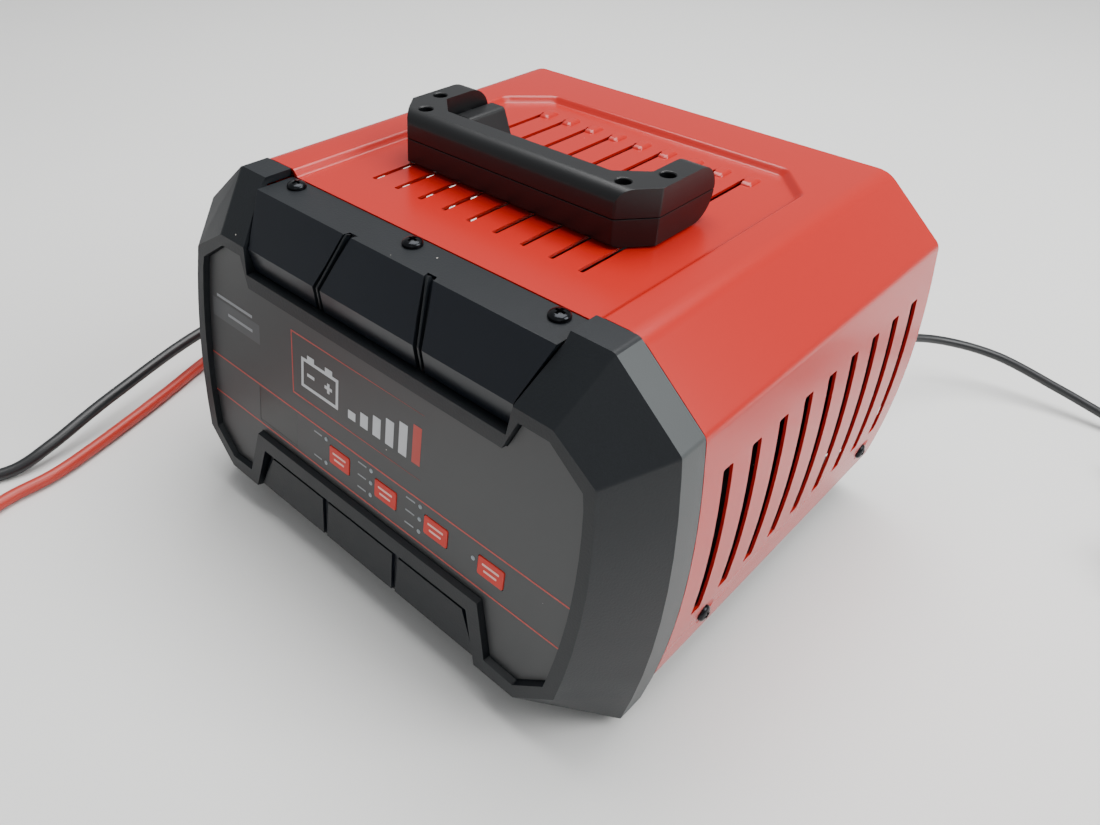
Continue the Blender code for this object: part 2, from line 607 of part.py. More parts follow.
def make_internals():
    """Boards, transformer, heat sink and fan inside the housing."""
    floor = -BODY_DROP + 2.0 + GAP
    board = loft("power_board", block(-86.0, 70.0, 32.0, 160.0, floor + 6.0, floor + 7.6))
    for x, y in ((-80.0, 38.0), (64.0, 38.0), (-80.0, 154.0), (64.0, 154.0)):
        post = along_z(disc(x, y, 2.6, 12), floor, floor + 6.5)
        combine(board, loft("post", post), "UNION")
    finish(board, "board")
    base = floor + 7.9
    core = loft("transformer", block(-30.0, 24.0, 50.0, 96.0, base, base + 12.0))
    combine(core, loft("coil", block(-22.0, 16.0, 44.0, 102.0, base + 9.0, base + 32.0)), "UNION")
    combine(core, loft("cap", block(-30.0, 24.0, 50.0, 96.0, base + 29.0, base + 41.0)), "UNION")
    finish(core, "core")
    sink = loft("heat_sink", block(36.0, 62.0, 44.0, 150.0, base, base + 6.0))
    for i in range(5):
        x = 37.0 + 5.4 * i
        combine(sink, loft("fin", block(x, x + 2.4, 44.0, 150.0, base + 5.0, base + 44.0)),
                "UNION")
    finish(sink, "aluminium")
    y0 = face_y(-100.0) + 15.0
    control = loft("control_board", block(-84.0, 86.0, y0, y0 + 1.6, -118.0, -84.0))
    for x in BUTTON_X:
        switch = block(x - 3.0, x + 3.0, y0 - 4.4, y0 + 0.5, -BUTTON_DROP - 3.0,
                       -BUTTON_DROP + 3.0)
        combine(control, loft("switch", switch), "UNION")
    for x in (-78.0, 80.0):
        post = along_y(disc(x, -88.0, 2.0, 12), y0 - 5.6, y0 + 0.5)
        combine(control, loft("post", post), "UNION")
    finish(control, "board")
    frame = loft("fan_frame", block(-32.0, 32.0, 176.0, 194.0, -94.0, -30.0))
    cut(frame, along_y(disc(0.0, -62.0, 29.0, 24), 170.0, 188.0))
    cut(frame, along_y(disc(0.0, -62.0, 29.0, 24), 191.0, 200.0))
    sectors = []
    for k in range(4):
        a0, a1 = k * 90 + 8, k * 90 + 82
        arc = [math.radians(a0 + (a1 - a0) * i / 6) for i in range(7)]
        ring = [(29.0 * math.cos(a), -62.0 + 29.0 * math.sin(a)) for a in arc]
        ring += [(12.0 * math.cos(a), -62.0 + 12.0 * math.sin(a)) for a in arc[::-1]]
        sectors.append(along_y(ring, 186.0, 195.0))
    cut(frame, *sectors)
    combine(frame, loft("stub", along_y(disc(0.0, -62.0, 2.0, 16), 179.0, 189.5)), "UNION")
    finish(frame, "black_plastic")
    rotor = loft("fan_rotor", along_y(disc(0.0, -62.0, 10.0, 28), 177.0, 187.6))
    for k in range(7):
        a = 2 * math.pi * k / 7
        d, n = (math.cos(a), math.sin(a)), (-math.sin(a), math.cos(a))
        rings = []
        for r in (8.5, 27.4):
            t = 1.6
            pts = []
            for off, y in ((-3.6, 178.4), (-3.6 + t, 178.4), (3.6 + t, 186.4), (3.6, 186.4)):
                off *= r / 27.4
                pts.append((d[0] * r + n[0] * off, y, -62.0 + d[1] * r + n[1] * off))
            rings.append(pts)
        combine(rotor, loft("blade", rings), "UNION")
    cut(rotor, along_y(disc(0.0, -62.0, 2.05, 16), 170.0, 200.0))
    pivot(rotor, (0.0, 182.0, -62.0))
    finish(rotor, "black_plastic")


def make_gland(name, x, z, hole, lead):
    """A strain relief through the rear panel."""
    back = along_y(disc(x, z, hole + 2.0, 20), 196.5, 200.4)
    gland = loft(name, back)
    combine(gland, loft("tail", along_y(disc(x, z, lead + 1.8, 20), 200.0, 210.0)), "UNION")
    combine(gland, loft("neck", along_y(disc(x, z, hole - GAP, 20), 193.8, 197.0)), "UNION")
    combine(gland, loft("nut", along_y(disc(x, z, hole + 1.6, 6), 190.4, 194.3)), "UNION")
    cut(gland, along_y(disc(x, z, lead - 0.6, 16), 185.0, 206.0))
    return finish(gland, "rubber")


def smooth_path(points, count):
    """Even samples of a smooth curve through hand-set points."""
    dense = []
    pts = [Vector(p) for p in points]
    for i in range(len(pts) - 1):
        p0, p1 = pts[max(i - 1, 0)], pts[i]
        p2, p3 = pts[i + 1], pts[min(i + 2, len(pts) - 1)]
        for k in range(16):
            t = k / 16
            dense.append(0.5 * (2 * p1 + (p2 - p0) * t + (2 * p0 - 5 * p1 + 4 * p2 - p3) * t * t
                                + (3 * p1 - p0 - 3 * p2 + p3) * t ** 3))
    dense.append(pts[-1])
    lengths = [0.0]
    for a, b in zip(dense, dense[1:]):
        lengths.append(lengths[-1] + (b - a).length)
    out, j = [], 0
    for i in range(count):
        want = lengths[-1] * i / (count - 1)
        while j < len(lengths) - 2 and lengths[j + 1] < want:
            j += 1
        part = (want - lengths[j]) / max(lengths[j + 1] - lengths[j], 1e-9)
        out.append(dense[j].lerp(dense[j + 1], part))
    return out


def tube(name, points, radius, count, colour):
    """A round cable through hand-set points."""
    curve = bpy.data.curves.new(name, "CURVE")
    curve.dimensions = "3D"
    curve.bevel_depth = radius * 0.001
    curve.bevel_resolution = 2
    curve.use_fill_caps = True
    path = smooth_path([place(*p) for p in points], count)
    spline = curve.splines.new("POLY")
    spline.points.add(len(path) - 1)
    for point, co in zip(spline.points, path):
        point.co = (*co, 1.0)
    holder = bpy.data.objects.new(name + "_curve", curve)
    bpy.data.collections[MODEL].objects.link(holder)
    graph = bpy.context.evaluated_depsgraph_get()
    mesh = bpy.data.meshes.new_from_object(holder.evaluated_get(graph))
    bpy.data.objects.remove(holder, do_unlink=True)
    bm = bmesh.new()
    bm.from_mesh(mesh)
    bmesh.ops.remove_doubles(bm, verts=bm.verts[:], dist=1e-6)
    return finish(to_object(name, bm), colour)


def coil(name, x, y, mean, half_width, height, colour):
    """A closed turned ring standing for a wound cable."""
    count, rings = 30, []
    base = -TOP_Z + GAP
    section = [(-half_width, 1.2), (-half_width + 1.2, 0.0), (half_width - 1.2, 0.0),
               (half_width, 1.2), (half_width, height - 1.2), (half_width - 1.2, height),
               (-half_width + 1.2, height), (-half_width, height - 1.2)]
    bm = bmesh.new()
    for i in range(count):
        a = 2 * math.pi * i / count
        rings.append([bm.verts.new(place(x + (mean + r) * math.cos(a),
                                         y + (mean + r) * math.sin(a), base + h))
                      for r, h in section])
    for i in range(count):
        low, high = rings[i], rings[(i + 1) % count]
        for k in range(len(section)):
            m = (k + 1) % len(section)
            bm.faces.new((low[k], low[m], high[m], high[k]))
    return finish(to_object(name, bm), colour)


def turned(points, angle, ox, oy, oz):
    """Plan points turned about the vertical and moved."""
    c, s = math.cos(angle), math.sin(angle)
    return [(ox + u * c - v * s, oy + u * s + v * c, oz + w) for u, v, w in points]


def jaw_rings(outline, low, high, angle, ox, oy, oz):
    """A clamp jaw: a side outline in length and height, drawn across its width."""
    return [turned([(u, v, w) for u, w in outline], angle, ox, oy, oz) for v in (low, high)]


def make_clamp(colour, ox, oy, angle):
    """A battery clamp on its side: two arms, a pivot spring and teeth."""
    oz = -TOP_Z + GAP
    half = 6.5

    def arm(name, sign, tone):
        def up(points):
            return [(u, 17.0 + sign * w) for u, w in points]
        jaw = up([(-38.0, 12.6), (-38.0, 16.6), (-8.0, 9.4), (8.0, 8.0), (26.0, 5.0),
                  (40.0, 3.4), (40.0, 0.3), (32.0, 0.3), (24.0, 1.6), (10.0, 2.2),
                  (6.0, 4.6), (-8.0, 5.4)])
        obj = loft(name, jaw_rings(jaw, -half, half, angle, ox, oy, oz))
        ears = [(u, 17.0 + sign * w) for u, w in
                ((-4.4, 6.5), (4.4, 6.5), (3.4, -3.2), (-3.4, -3.2))]
        edge = (5.0, 6.2) if sign > 0 else (3.4, 4.6)
        for a, b in ((edge[0], edge[1]), (-edge[1], -edge[0])):
            combine(obj, loft("ear", jaw_rings(ears, a, b, angle, ox, oy, oz)), "UNION")
        hole = jaw_rings([(u, 17.0 + w) for u, w in disc(0.0, 0.0, 1.6, 16)], -9.0, 9.0,
                         angle, ox, oy, oz)
        cut(obj, hole)
        return finish(obj, tone)

    lower = arm("clamp_%s_lower" % colour, -1, colour + "_cable")
    upper = arm("clamp_%s_upper" % colour, 1, colour + "_cable")
    pin = jaw_rings([(u, 17.0 + w) for u, w in disc(0.0, 0.0, 1.57, 16)], -7.2, 7.2,
                    angle, ox, oy, oz)
    spring = loft("clamp_%s_pin" % colour, pin)
    body = jaw_rings([(u, 17.0 + w) for u, w in disc(0.0, 0.0, 2.7, 16)], -3.0, 3.0,
                     angle, ox, oy, oz)
    combine(spring, loft("body", body), "UNION")
    finish(spring, "steel")
    pivot(upper, (ox, oy, oz + 17.0))
    return lower, upper, spring


def make_plug(x, y, angle):
    """A moulded two-pin mains plug."""
    oz = -TOP_Z + GAP
    body = [(0.0, -7.0), (6.0, -11.0), (26.0, -17.0), (34.0, -17.0), (34.0, 17.0),
            (26.0, 17.0), (6.0, 11.0), (0.0, 7.0)]
    plug = loft("mains_plug", [turned([(u, v * k, h) for u, v in body], angle, x, y, oz)
                               for k, h in ((0.8, 0.0), (1.0, 5.0), (1.0, 21.0), (0.8, 26.0))])
    for side in (-9.5, 9.5):
        pin = []
        for u in (33.0, 52.0):
            pin.append(turned([(u, side + a, 13.0 + b) for a, b in disc(0, 0, 2.4, 14)],
                              angle, x, y, oz))
        combine(plug, loft("pin", pin), "UNION")
    return finish(plug, "rubber")


def main():
    """Build every piece."""
    clear_scene()
    bpy.context.scene.collection.children.link(bpy.data.collections.new(MODEL))
    make_cover()
    make_tray()
    make_rear_panel()
    make_bezel()
    make_upper_trim()
    make_lower_trim()
    make_fascia()
    make_window()
    for i in range(4):
        make_button(i)
        make_guide(i)
    make_handle(True)
    make_handle(False)
    for side in ("left", "right"):
        make_bracket(side)
        make_axle(side)
    number = 0
    for s in (-1, 1):
        for x, y in ((52.4, 65.3), (60.6, 82.0)):
            number += 1
            screw = pan_screw("handle_screw_%d" % number, (s * x, y, HANDLE_TOP - 7.0 + 0.02),
                              (0, 0, 1), 2.9, 1.5, 11.0)
            pivot(screw, (0.0, AXIS_Y, AXIS_UP))
    for i, x in enumerate(TRIM_SCREW_X):
        pan_screw("trim_screw_%d" % (i + 1), (x, TRIM_SCREW_Y, -3.4 + 0.02), (0, 0, 1), 4.2,
                  1.6, 7.0)
    number = 0
    for s in (-1, 1):
        for y in SIDE_SCREW_Y:
            number += 1
            x = s * (side_half(-SIDE_SCREW_DROP) + 0.55)
            pan_screw("side_screw_%d" % number, (x, y, -SIDE_SCREW_DROP), (s, 0, 0), 3.6, 1.3,
                      6.0)
    number = 0
    for s in (-1, 1):
        for y in FOOT_Y:
            number += 1
            make_foot("foot_%d" % number, s * FOOT_X, y)
    make_internals()
    make_gland("lead_gland_black", -88.0, -128.0, 5.2, LEAD_RADIUS)
    make_gland("lead_gland_red", -66.0, -128.0, 5.2, LEAD_RADIUS)
    make_gland("mains_gland", 88.0, -125.0, 4.4, MAINS_RADIUS)
    ground = -TOP_Z + 0.8 + LEAD_RADIUS
    tube("lead_black_run", [(-88.0, 210.4, -128.0), (-88.0, 222.0, -129.0), (-96.0, 240.0, -134.0),
                            (-122.0, 252.0, -138.0), (-156.0, 238.0, -138.0),
                            (-180.0, 200.0, -137.0), (-190.0, 150.0, -136.0),
                            (-194.0, 90.0, -136.0), (-198.0, 20.0, -141.0),
                            (-190.0, -44.0, -150.0), (-184.0, -84.0, -158.0),
                            (-184.0, -106.0, ground), (-189.0, -128.0, ground),
                            (-199.0, -144.0, ground), (-212.4, -149.6, ground)], LEAD_RADIUS, 58, "black_cable")
    tube("lead_red_run", [(-66.0, 210.5, -128.0), (-66.0, 222.0, -129.2), (-74.0, 246.0, -144.0),
                          (-104.0, 270.0, -158.0), (-148.0, 272.0, ground),
                          (-188.0, 240.0, ground), (-212.0, 190.0, ground),
                          (-219.0, 120.0, ground), (-212.0, 60.0, ground),
                          (-199.0, 16.0, ground), (-187.0, -19.0, ground),
                          (-174.0, -62.0, ground), (-167.0, -92.0, ground),
                          (-168.0, -119.0, ground), (-173.0, -142.0, ground),
                          (-177.6, -163.2, ground)], LEAD_RADIUS, 62, "red_cable")
    make_ends(ground)


def make_ends(ground):
    """The wound lengths of the leads and cord, and what is on their ends."""
    coil("lead_black_coil", -262.0, -150.0, LEAD_COIL, 13.0, 13.0, "black_cable")
    coil("lead_red_coil", -178.0, -213.0, LEAD_COIL, 13.0, 13.0, "red_cable")
    make_clamp("black", -278.22, -241.98, math.radians(-100.0))
    make_clamp("red", -106.45, -273.04, math.radians(-40.0))
    low = -TOP_Z + 0.8 + MAINS_RADIUS
    tube("mains_run", [(88.0, 210.4, -125.0), (89.0, 230.0, -125.0), (93.0, 262.0, -127.0),
                       (101.0, 292.0, -131.0), (118.0, 318.0, -137.0), (144.0, 336.0, -144.0),
                       (176.0, 343.0, -153.0), (203.0, 345.0, -158.0), (220.0, 342.0, low),
                       (234.8, 333.2, low)], MAINS_RADIUS, 48, "black_cable")
    coil("mains_coil", 262.0, 306.0, MAINS_COIL, 10.0, 12.0, "black_cable")
    make_plug(262.0, 267.6, -math.pi / 2)


main()
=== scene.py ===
"""Looks of a portable car battery charger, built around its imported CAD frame."""
from __future__ import annotations

import json
import logging
import math
from dataclasses import dataclass, field
from enum import Enum

import bmesh
import bpy
from mathutils import Matrix, Vector

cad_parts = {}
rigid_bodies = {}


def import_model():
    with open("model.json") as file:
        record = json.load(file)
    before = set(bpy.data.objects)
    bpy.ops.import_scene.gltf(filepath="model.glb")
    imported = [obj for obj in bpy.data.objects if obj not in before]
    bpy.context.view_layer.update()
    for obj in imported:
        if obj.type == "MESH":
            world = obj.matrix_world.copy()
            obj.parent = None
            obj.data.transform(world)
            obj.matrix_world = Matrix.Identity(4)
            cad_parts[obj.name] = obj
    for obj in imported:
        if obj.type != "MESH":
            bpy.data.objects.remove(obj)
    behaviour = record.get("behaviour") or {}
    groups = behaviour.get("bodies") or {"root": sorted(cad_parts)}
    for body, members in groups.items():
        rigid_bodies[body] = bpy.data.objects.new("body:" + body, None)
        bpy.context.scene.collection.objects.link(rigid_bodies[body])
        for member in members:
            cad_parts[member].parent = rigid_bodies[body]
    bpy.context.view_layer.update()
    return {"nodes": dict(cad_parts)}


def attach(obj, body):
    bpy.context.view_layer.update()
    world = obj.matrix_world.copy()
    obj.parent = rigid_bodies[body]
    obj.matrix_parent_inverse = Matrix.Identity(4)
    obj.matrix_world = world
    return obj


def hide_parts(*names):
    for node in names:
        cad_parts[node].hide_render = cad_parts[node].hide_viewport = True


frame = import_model()
LOG = logging.getLogger("charger")

Ring = list[tuple[float, float, float]]
Flat = list[tuple[float, float]]

# Shapes are drawn in millimetres: x to the right, y back from the front edge, z from the top.
FRONT_Y, TOP_Z = -83.75, 167.0
GAP = 0.3


class Body(Enum):
    """The bodies of the frame that pieces ride on."""

    HOUSING = "housing"
    HANDLE = "handle"
    BLACK_JAW = "black_clamp_jaw"
    RED_JAW = "red_clamp_jaw"


def place(x: float, y: float, z: float) -> Vector:
    """A point in metres in the row frame, from drawing millimetres."""
    return Vector((x, y + FRONT_Y, z + TOP_Z)) * 0.001


def linear(code: str) -> tuple[float, float, float, float]:
    """An sRGB hex colour as linear red, green, blue and alpha.

    Args:
        code: the colour, such as #C02010.

    Returns:
        Linear colour values.
    """
    parts = [int(code[i:i + 2], 16) / 255 for i in (1, 3, 5)]
    rgb = [c / 12.92 if c <= 0.04045 else ((c + 0.055) / 1.055) ** 2.4 for c in parts]
    return (rgb[0], rgb[1], rgb[2], 1.0)


def add(tree: bpy.types.NodeTree, kind: str, settings: dict | None = None,
        links: dict | None = None) -> bpy.types.Node:
    """Add a node, set it up and link it.

    Args:
        tree: the tree that gets the node.
        kind: the node's type name.
        settings: properties by name, or values by input name or number.
        links: output sockets by the input they feed.

    Returns:
        The new node.
    """
    node = tree.nodes.new(kind)
    for key, value in (settings or {}).items():
        if isinstance(key, str) and hasattr(node, key):
            setattr(node, key, value)
        else:
            node.inputs[key].default_value = value
    for key, socket in (links or {}).items():
        tree.links.new(socket, node.inputs[key])
    return node


# ---------------------------------------------------------------- finishes


@dataclass(frozen=True)
class Finish:
    """A surface as it is made: its colour, gloss and the grain that the mould or paint leaves."""

    name: str
    colour: str
    second: str
    rough: float
    metallic: float = 0.0
    ior: float = 1.5
    grain_mm: float = 0.6
    grain_depth_mm: float = 0.01
    patch_mm: float = 30.0
    rough_swing: float = 0.06
    dust: float = 0.0
    slot: str = "black_plastic"

    def material(self) -> bpy.types.Material:
        """The finish as a node material, made once.

        Returns:
            The material.
        """
        found = bpy.data.materials.get(self.name)
        if found:
            return found
        made = bpy.data.materials.new(self.name)
        made.use_nodes = True
        tree = made.node_tree
        shader = tree.nodes["Principled BSDF"]
        shader.inputs["Metallic"].default_value = self.metallic
        if self.metallic < 0.5:
            shader.inputs["IOR"].default_value = self.ior
        where = add(tree, "ShaderNodeTexCoord").outputs["Object"]
        patch = add(tree, "ShaderNodeTexNoise", {"Scale": 1000.0 / self.patch_mm, "Detail": 3.0},
                    {"Vector": where}).outputs["Fac"]
        tone = add(tree, "ShaderNodeMix", {"data_type": "RGBA", 6: linear(self.colour),
                                           7: linear(self.second)}, {0: patch}).outputs[2]
        if self.dust:
            tone = self.dusted(tree, where, tone)
        tree.links.new(tone, shader.inputs["Base Color"])
        grain = add(tree, "ShaderNodeTexNoise", {"Scale": 1000.0 / self.grain_mm, "Detail": 2.0},
                    {"Vector": where}).outputs["Fac"]
        swing = add(tree, "ShaderNodeMapRange", {"To Min": self.rough - self.rough_swing,
                                                 "To Max": self.rough + self.rough_swing},
                    {"Value": patch}).outputs["Result"]
        tree.links.new(swing, shader.inputs["Roughness"])
        bump = add(tree, "ShaderNodeBump", {"Strength": 1.0,
                                            "Distance": self.grain_depth_mm * 0.001},
                   {"Height": grain}).outputs["Normal"]
        tree.links.new(bump, shader.inputs["Normal"])
        made.diffuse_color = linear(self.colour)
        return made

    def dusted(self, tree: bpy.types.NodeTree, where: bpy.types.NodeSocket,
               tone: bpy.types.NodeSocket) -> bpy.types.NodeSocket:
        """Sparse pale specks of garage dust over a colour.

        Args:
            tree: the material's tree.
            where: the position socket.
            tone: the colour under the dust.

        Returns:
            The dusted colour's socket.
        """
        cell = add(tree, "ShaderNodeTexVoronoi", {"Scale": 1000.0 / 7.0}, {"Vector": where})
        near = add(tree, "ShaderNodeMath", {"operation": "LESS_THAN", 1: 0.045},
                   {0: cell.outputs["Distance"]}).outputs[0]
        split = add(tree, "ShaderNodeSeparateColor", None, {"Color": cell.outputs["Color"]})
        some = add(tree, "ShaderNodeMath", {"operation": "LESS_THAN", 1: self.dust},
                   {0: split.outputs[0]}).outputs[0]
        speck = add(tree, "ShaderNodeMath", {"operation": "MULTIPLY"},
                    {0: near, 1: some}).outputs[0]
        return add(tree, "ShaderNodeMix", {"data_type": "RGBA", 7: linear("#B9B4AC")},
                   {0: speck, 6: tone}).outputs[2]


# Stoving enamel on folded steel: glossy, with a faint orange peel and no sparkle.
RED_ENAMEL = Finish("stoving_enamel_red", "#B4190F", "#AE170E", 0.27, ior=1.5, grain_mm=2.4,
                    grain_depth_mm=0.012, patch_mm=160.0, rough_swing=0.012, dust=0.05,
                    slot="red_paint")
# The same ABS where its band stands against the red, on the band's outward sides: painted paler
# grey as a painted reflection of the bright floor on them.
BAND_PAINTED_SHEEN_ABS = Finish("moulded_abs_band_painted_sheen", "#3A3E3F", "#424647", 0.5, ior=1.45, grain_mm=0.55,
                  grain_depth_mm=0.035, patch_mm=30.0)
# ABS from a spark-eroded mould: near black, with a leather-like grain that breaks highlights. The
# real grain is about 0.3 mm; it is drawn coarser so that it shows.
GRAINED_ABS = Finish("moulded_abs_blue_black", "#0B0F13", "#10151A", 0.45, ior=1.42, grain_mm=0.9,
                     grain_depth_mm=0.055, patch_mm=45.0, dust=0.1)
HANDLE_ABS = Finish("moulded_abs_handle", "#0B0C0E", "#101214", 0.38, ior=1.45, grain_mm=0.6,
                    grain_depth_mm=0.02, patch_mm=40.0, dust=0.12)
# Polished dark ABS of the upper pads; the same darker finish also stands as painted shade in the
# gaps round the lower pads.
PAD_AND_GAP_SHADE_ABS = Finish("moulded_abs_polished_pad_and_painted_gap_shade", "#070C14", "#0A1019", 0.3, ior=1.45, grain_mm=0.8,
                  grain_depth_mm=0.008, patch_mm=40.0, dust=0.08)
# Screen-printed polycarbonate overlay: satin, dark grey, almost no grain.
PANEL_GREY = Finish("printed_polycarbonate_grey", "#222325", "#252729", 0.42, ior=1.58,
                    grain_mm=0.9, grain_depth_mm=0.004, patch_mm=60.0, rough_swing=0.03,
                    dust=0.05, slot="grey_fascia")
PANEL_BAND = Finish("printed_polycarbonate_light_grey", "#2C2D2F", "#2F3132", 0.42, ior=1.58,
                    grain_mm=0.9, grain_depth_mm=0.004, slot="grey_fascia")
PANEL_LABEL = Finish("printed_polycarbonate_label_grey", "#393B3E", "#414346", 0.45, ior=1.58,
                     grain_mm=0.9, grain_depth_mm=0.004, slot="grey_fascia")
WINDOW_SMOKE = Finish("smoked_acrylic", "#141516", "#18191A", 0.3, ior=1.49, grain_mm=1.5,
                      grain_depth_mm=0.002, slot="smoked_window")
INK_RED = Finish("screen_ink_red", "#B8453C", "#AE3F38", 0.5, grain_mm=0.5, grain_depth_mm=0.004,
                 slot="red_button")
INK_PALE = Finish("screen_ink_pale_grey", "#C6C8CB", "#BEC1C4", 0.5, grain_mm=0.5,
                  grain_depth_mm=0.004, slot="clear_guide")
INK_DIM = Finish("screen_ink_dim_grey", "#8A8D90", "#84878A", 0.5, grain_mm=0.5,
                 grain_depth_mm=0.004, slot="clear_guide")
KEY_RED = Finish("silicone_key_red", "#CB3226", "#C12D22", 0.48, ior=1.41, grain_mm=0.5,
                 grain_depth_mm=0.006, slot="red_button")
KEY_INK = Finish("key_ink_pale", "#E3B9B2", "#DDAEA6", 0.5, grain_mm=0.5, grain_depth_mm=0.003,
                 slot="red_button")
LIGHT_GUIDE = Finish("frosted_acrylic_guide", "#8E979C", "#9AA3A8", 0.3, ior=1.49, grain_mm=0.5,
                     grain_depth_mm=0.004, slot="clear_guide")
BLACK_OXIDE = Finish("black_oxide_steel", "#1C1D20", "#26282B", 0.2, metallic=0.85, grain_mm=0.7,
                     grain_depth_mm=0.01, patch_mm=4.0, rough_swing=0.1, slot="black_screw")
ZINC_STEEL = Finish("zinc_plated_steel", "#9A9CA0", "#8B8E92", 0.32, metallic=1.0, grain_mm=0.7,
                    grain_depth_mm=0.008, patch_mm=6.0, rough_swing=0.08, slot="steel")
COPPER_JAW = Finish("coppered_steel_jaw", "#A9714F", "#93603F", 0.38, metallic=1.0, grain_mm=0.8,
                    grain_depth_mm=0.02, patch_mm=8.0, rough_swing=0.1, slot="steel")
RUBBER = Finish("moulded_rubber", "#17181A", "#1D1F21", 0.72, grain_mm=0.7, grain_depth_mm=0.02,
                slot="rubber")
TRAY_ABS = Finish("moulded_abs_tray", "#16181A", "#1C1F21", 0.55, grain_mm=0.6,
                  grain_depth_mm=0.03, dust=0.1)
BOARD_GREEN = Finish("glass_epoxy_board", "#1D4A2C", "#245634", 0.4, grain_mm=1.2,
                     grain_depth_mm=0.02, patch_mm=9.0, slot="board")
CORE_VARNISH = Finish("varnished_transformer", "#7B6A3A", "#5D4F2C", 0.45, grain_mm=0.8,
                      grain_depth_mm=0.05, patch_mm=5.0, slot="core")
ALUMINIUM = Finish("extruded_aluminium", "#4A4C50", "#434549", 0.45, metallic=1.0, grain_mm=0.5,
                   grain_depth_mm=0.012, patch_mm=12.0, slot="aluminium")
CABLE_BLACK = Finish("pvc_cable_black", "#17181A", "#1E2022", 0.4, ior=1.53, grain_mm=1.4,
                     grain_depth_mm=0.02, patch_mm=25.0, dust=0.06, slot="black_cable")
CABLE_RED = Finish("pvc_cable_red", "#B23022", "#A82A1E", 0.42, ior=1.53, grain_mm=1.4,
                   grain_depth_mm=0.02, patch_mm=25.0, dust=0.06, slot="red_cable")
GRIP_BLACK = Finish("dipped_pvc_grip_black", "#1B1C1E", "#232527", 0.5, grain_mm=1.0,
                    grain_depth_mm=0.03, slot="black_cable")
GRIP_RED = Finish("dipped_pvc_grip_red", "#B52A1F", "#A8251B", 0.5, grain_mm=1.0,
                  grain_depth_mm=0.03, slot="red_cable")


# ---------------------------------------------------------------- drawing helpers


def along_y(points: Flat, y0: float, y1: float) -> list[Ring]:
    """Two rings of an outline in x and z, drawn out along y."""
    return [[(x, y, z) for x, z in points] for y in (y0, y1)]


def along_x(points: Flat, x0: float, x1: float) -> list[Ring]:
    """Two rings of an outline in y and z, drawn out along x."""
    return [[(x, y, z) for y, z in points] for x in (x0, x1)]


def along_z(points: Flat, z0: float, z1: float) -> list[Ring]:
    """Two rings of an outline in x and y, drawn out along z."""
    return [[(x, y, z) for x, y in points] for z in (z0, z1)]


def rect(a0: float, a1: float, b0: float, b1: float) -> Flat:
    """Corners of a rectangle."""
    return [(a0, b0), (a1, b0), (a1, b1), (a0, b1)]


def disc(a: float, b: float, radius: float, count: int = 32) -> Flat:
    """Points of a circle."""
    return [(a + radius * math.cos(math.tau * i / count),
             b + radius * math.sin(math.tau * i / count))
            for i in range(count)]


def spread(low: float, high: float, count: int) -> list[float]:
    """Evenly spaced numbers with both ends."""
    return [low + (high - low) * i / (count - 1) for i in range(count)]


def rounded(points: Flat, radius: float | list[float], steps: int = 4, closed: bool = True) -> Flat:
    """Replace the corners of an outline by arcs.

    Args:
        points: the outline's corners.
        radius: one radius, or one for each corner; 0 keeps a corner.
        steps: spans in each arc.
        closed: whether the outline closes on itself.

    Returns:
        The rounded outline.
    """
    out: Flat = []
    n = len(points)
    for i, p in enumerate(points):
        r = radius[i] if isinstance(radius, list) else radius
        if r <= 0 or (not closed and i in (0, n - 1)):
            out.append(p)
            continue
        a, b, c = Vector(points[i - 1]), Vector(p), Vector(points[(i + 1) % n])
        u, v = (a - b), (c - b)
        half = math.acos(max(-1.0, min(1.0, u.normalized().dot(v.normalized())))) / 2
        reach = min(r / math.tan(half), u.length * 0.49, v.length * 0.49)
        r = reach * math.tan(half)
        middle = b + (u.normalized() + v.normalized()).normalized() * (r / math.sin(half))
        start, end = b + u.normalized() * reach - middle, b + v.normalized() * reach - middle
        turn = math.atan2(start.x * end.y - start.y * end.x, start.dot(end))
        for k in range(steps + 1):
            t = turn * k / steps
            out.append((middle.x + start.x * math.cos(t) - start.y * math.sin(t),
                        middle.y + start.x * math.sin(t) + start.y * math.cos(t)))
    return out


def inset(points: Flat, distance: float) -> Flat:
    """Move an open outline to its left as it runs.

    Args:
        points: the outline.
        distance: how far, in millimetres.

    Returns:
        The moved outline.
    """
    out: Flat = []
    for i, p in enumerate(points):
        a, b = Vector(points[max(i - 1, 0)]), Vector(points[min(i + 1, len(points) - 1)])
        d = (b - a).normalized()
        out.append((p[0] - d.y * distance, p[1] + d.x * distance))
    return out


def mirrored(half: Flat) -> Flat:
    """A right half followed by its mirror image."""
    return half + [(-x, z) for x, z in reversed(half) if abs(x) > 1e-6]


def side_half(z: float) -> float:
    """Half width of the body at a height below the fold."""
    u = -25.0 - z
    return 128.7 + 0.1366 * u - 0.001147 * u * u - 8.7e-7 * u ** 3


def face_y(z: float) -> float:
    """Where the front frame's plane lies at a height."""
    return -18.8 + 12.68 / 136.4 * (z + 22.7)


def frame_half(z: float) -> float:
    """Half width of the front frame at a height."""
    return 116.3 - 0.00189 * (z + 82.0) ** 2


def leaning(points: Flat, off0: float, off1: float) -> list[Ring]:
    """Two rings that follow the front's leaning plane, at two depths behind it."""
    return [[(x, face_y(z) + off, z) for x, z in points] for off in (off0, off1)]


# ---------------------------------------------------------------- solids


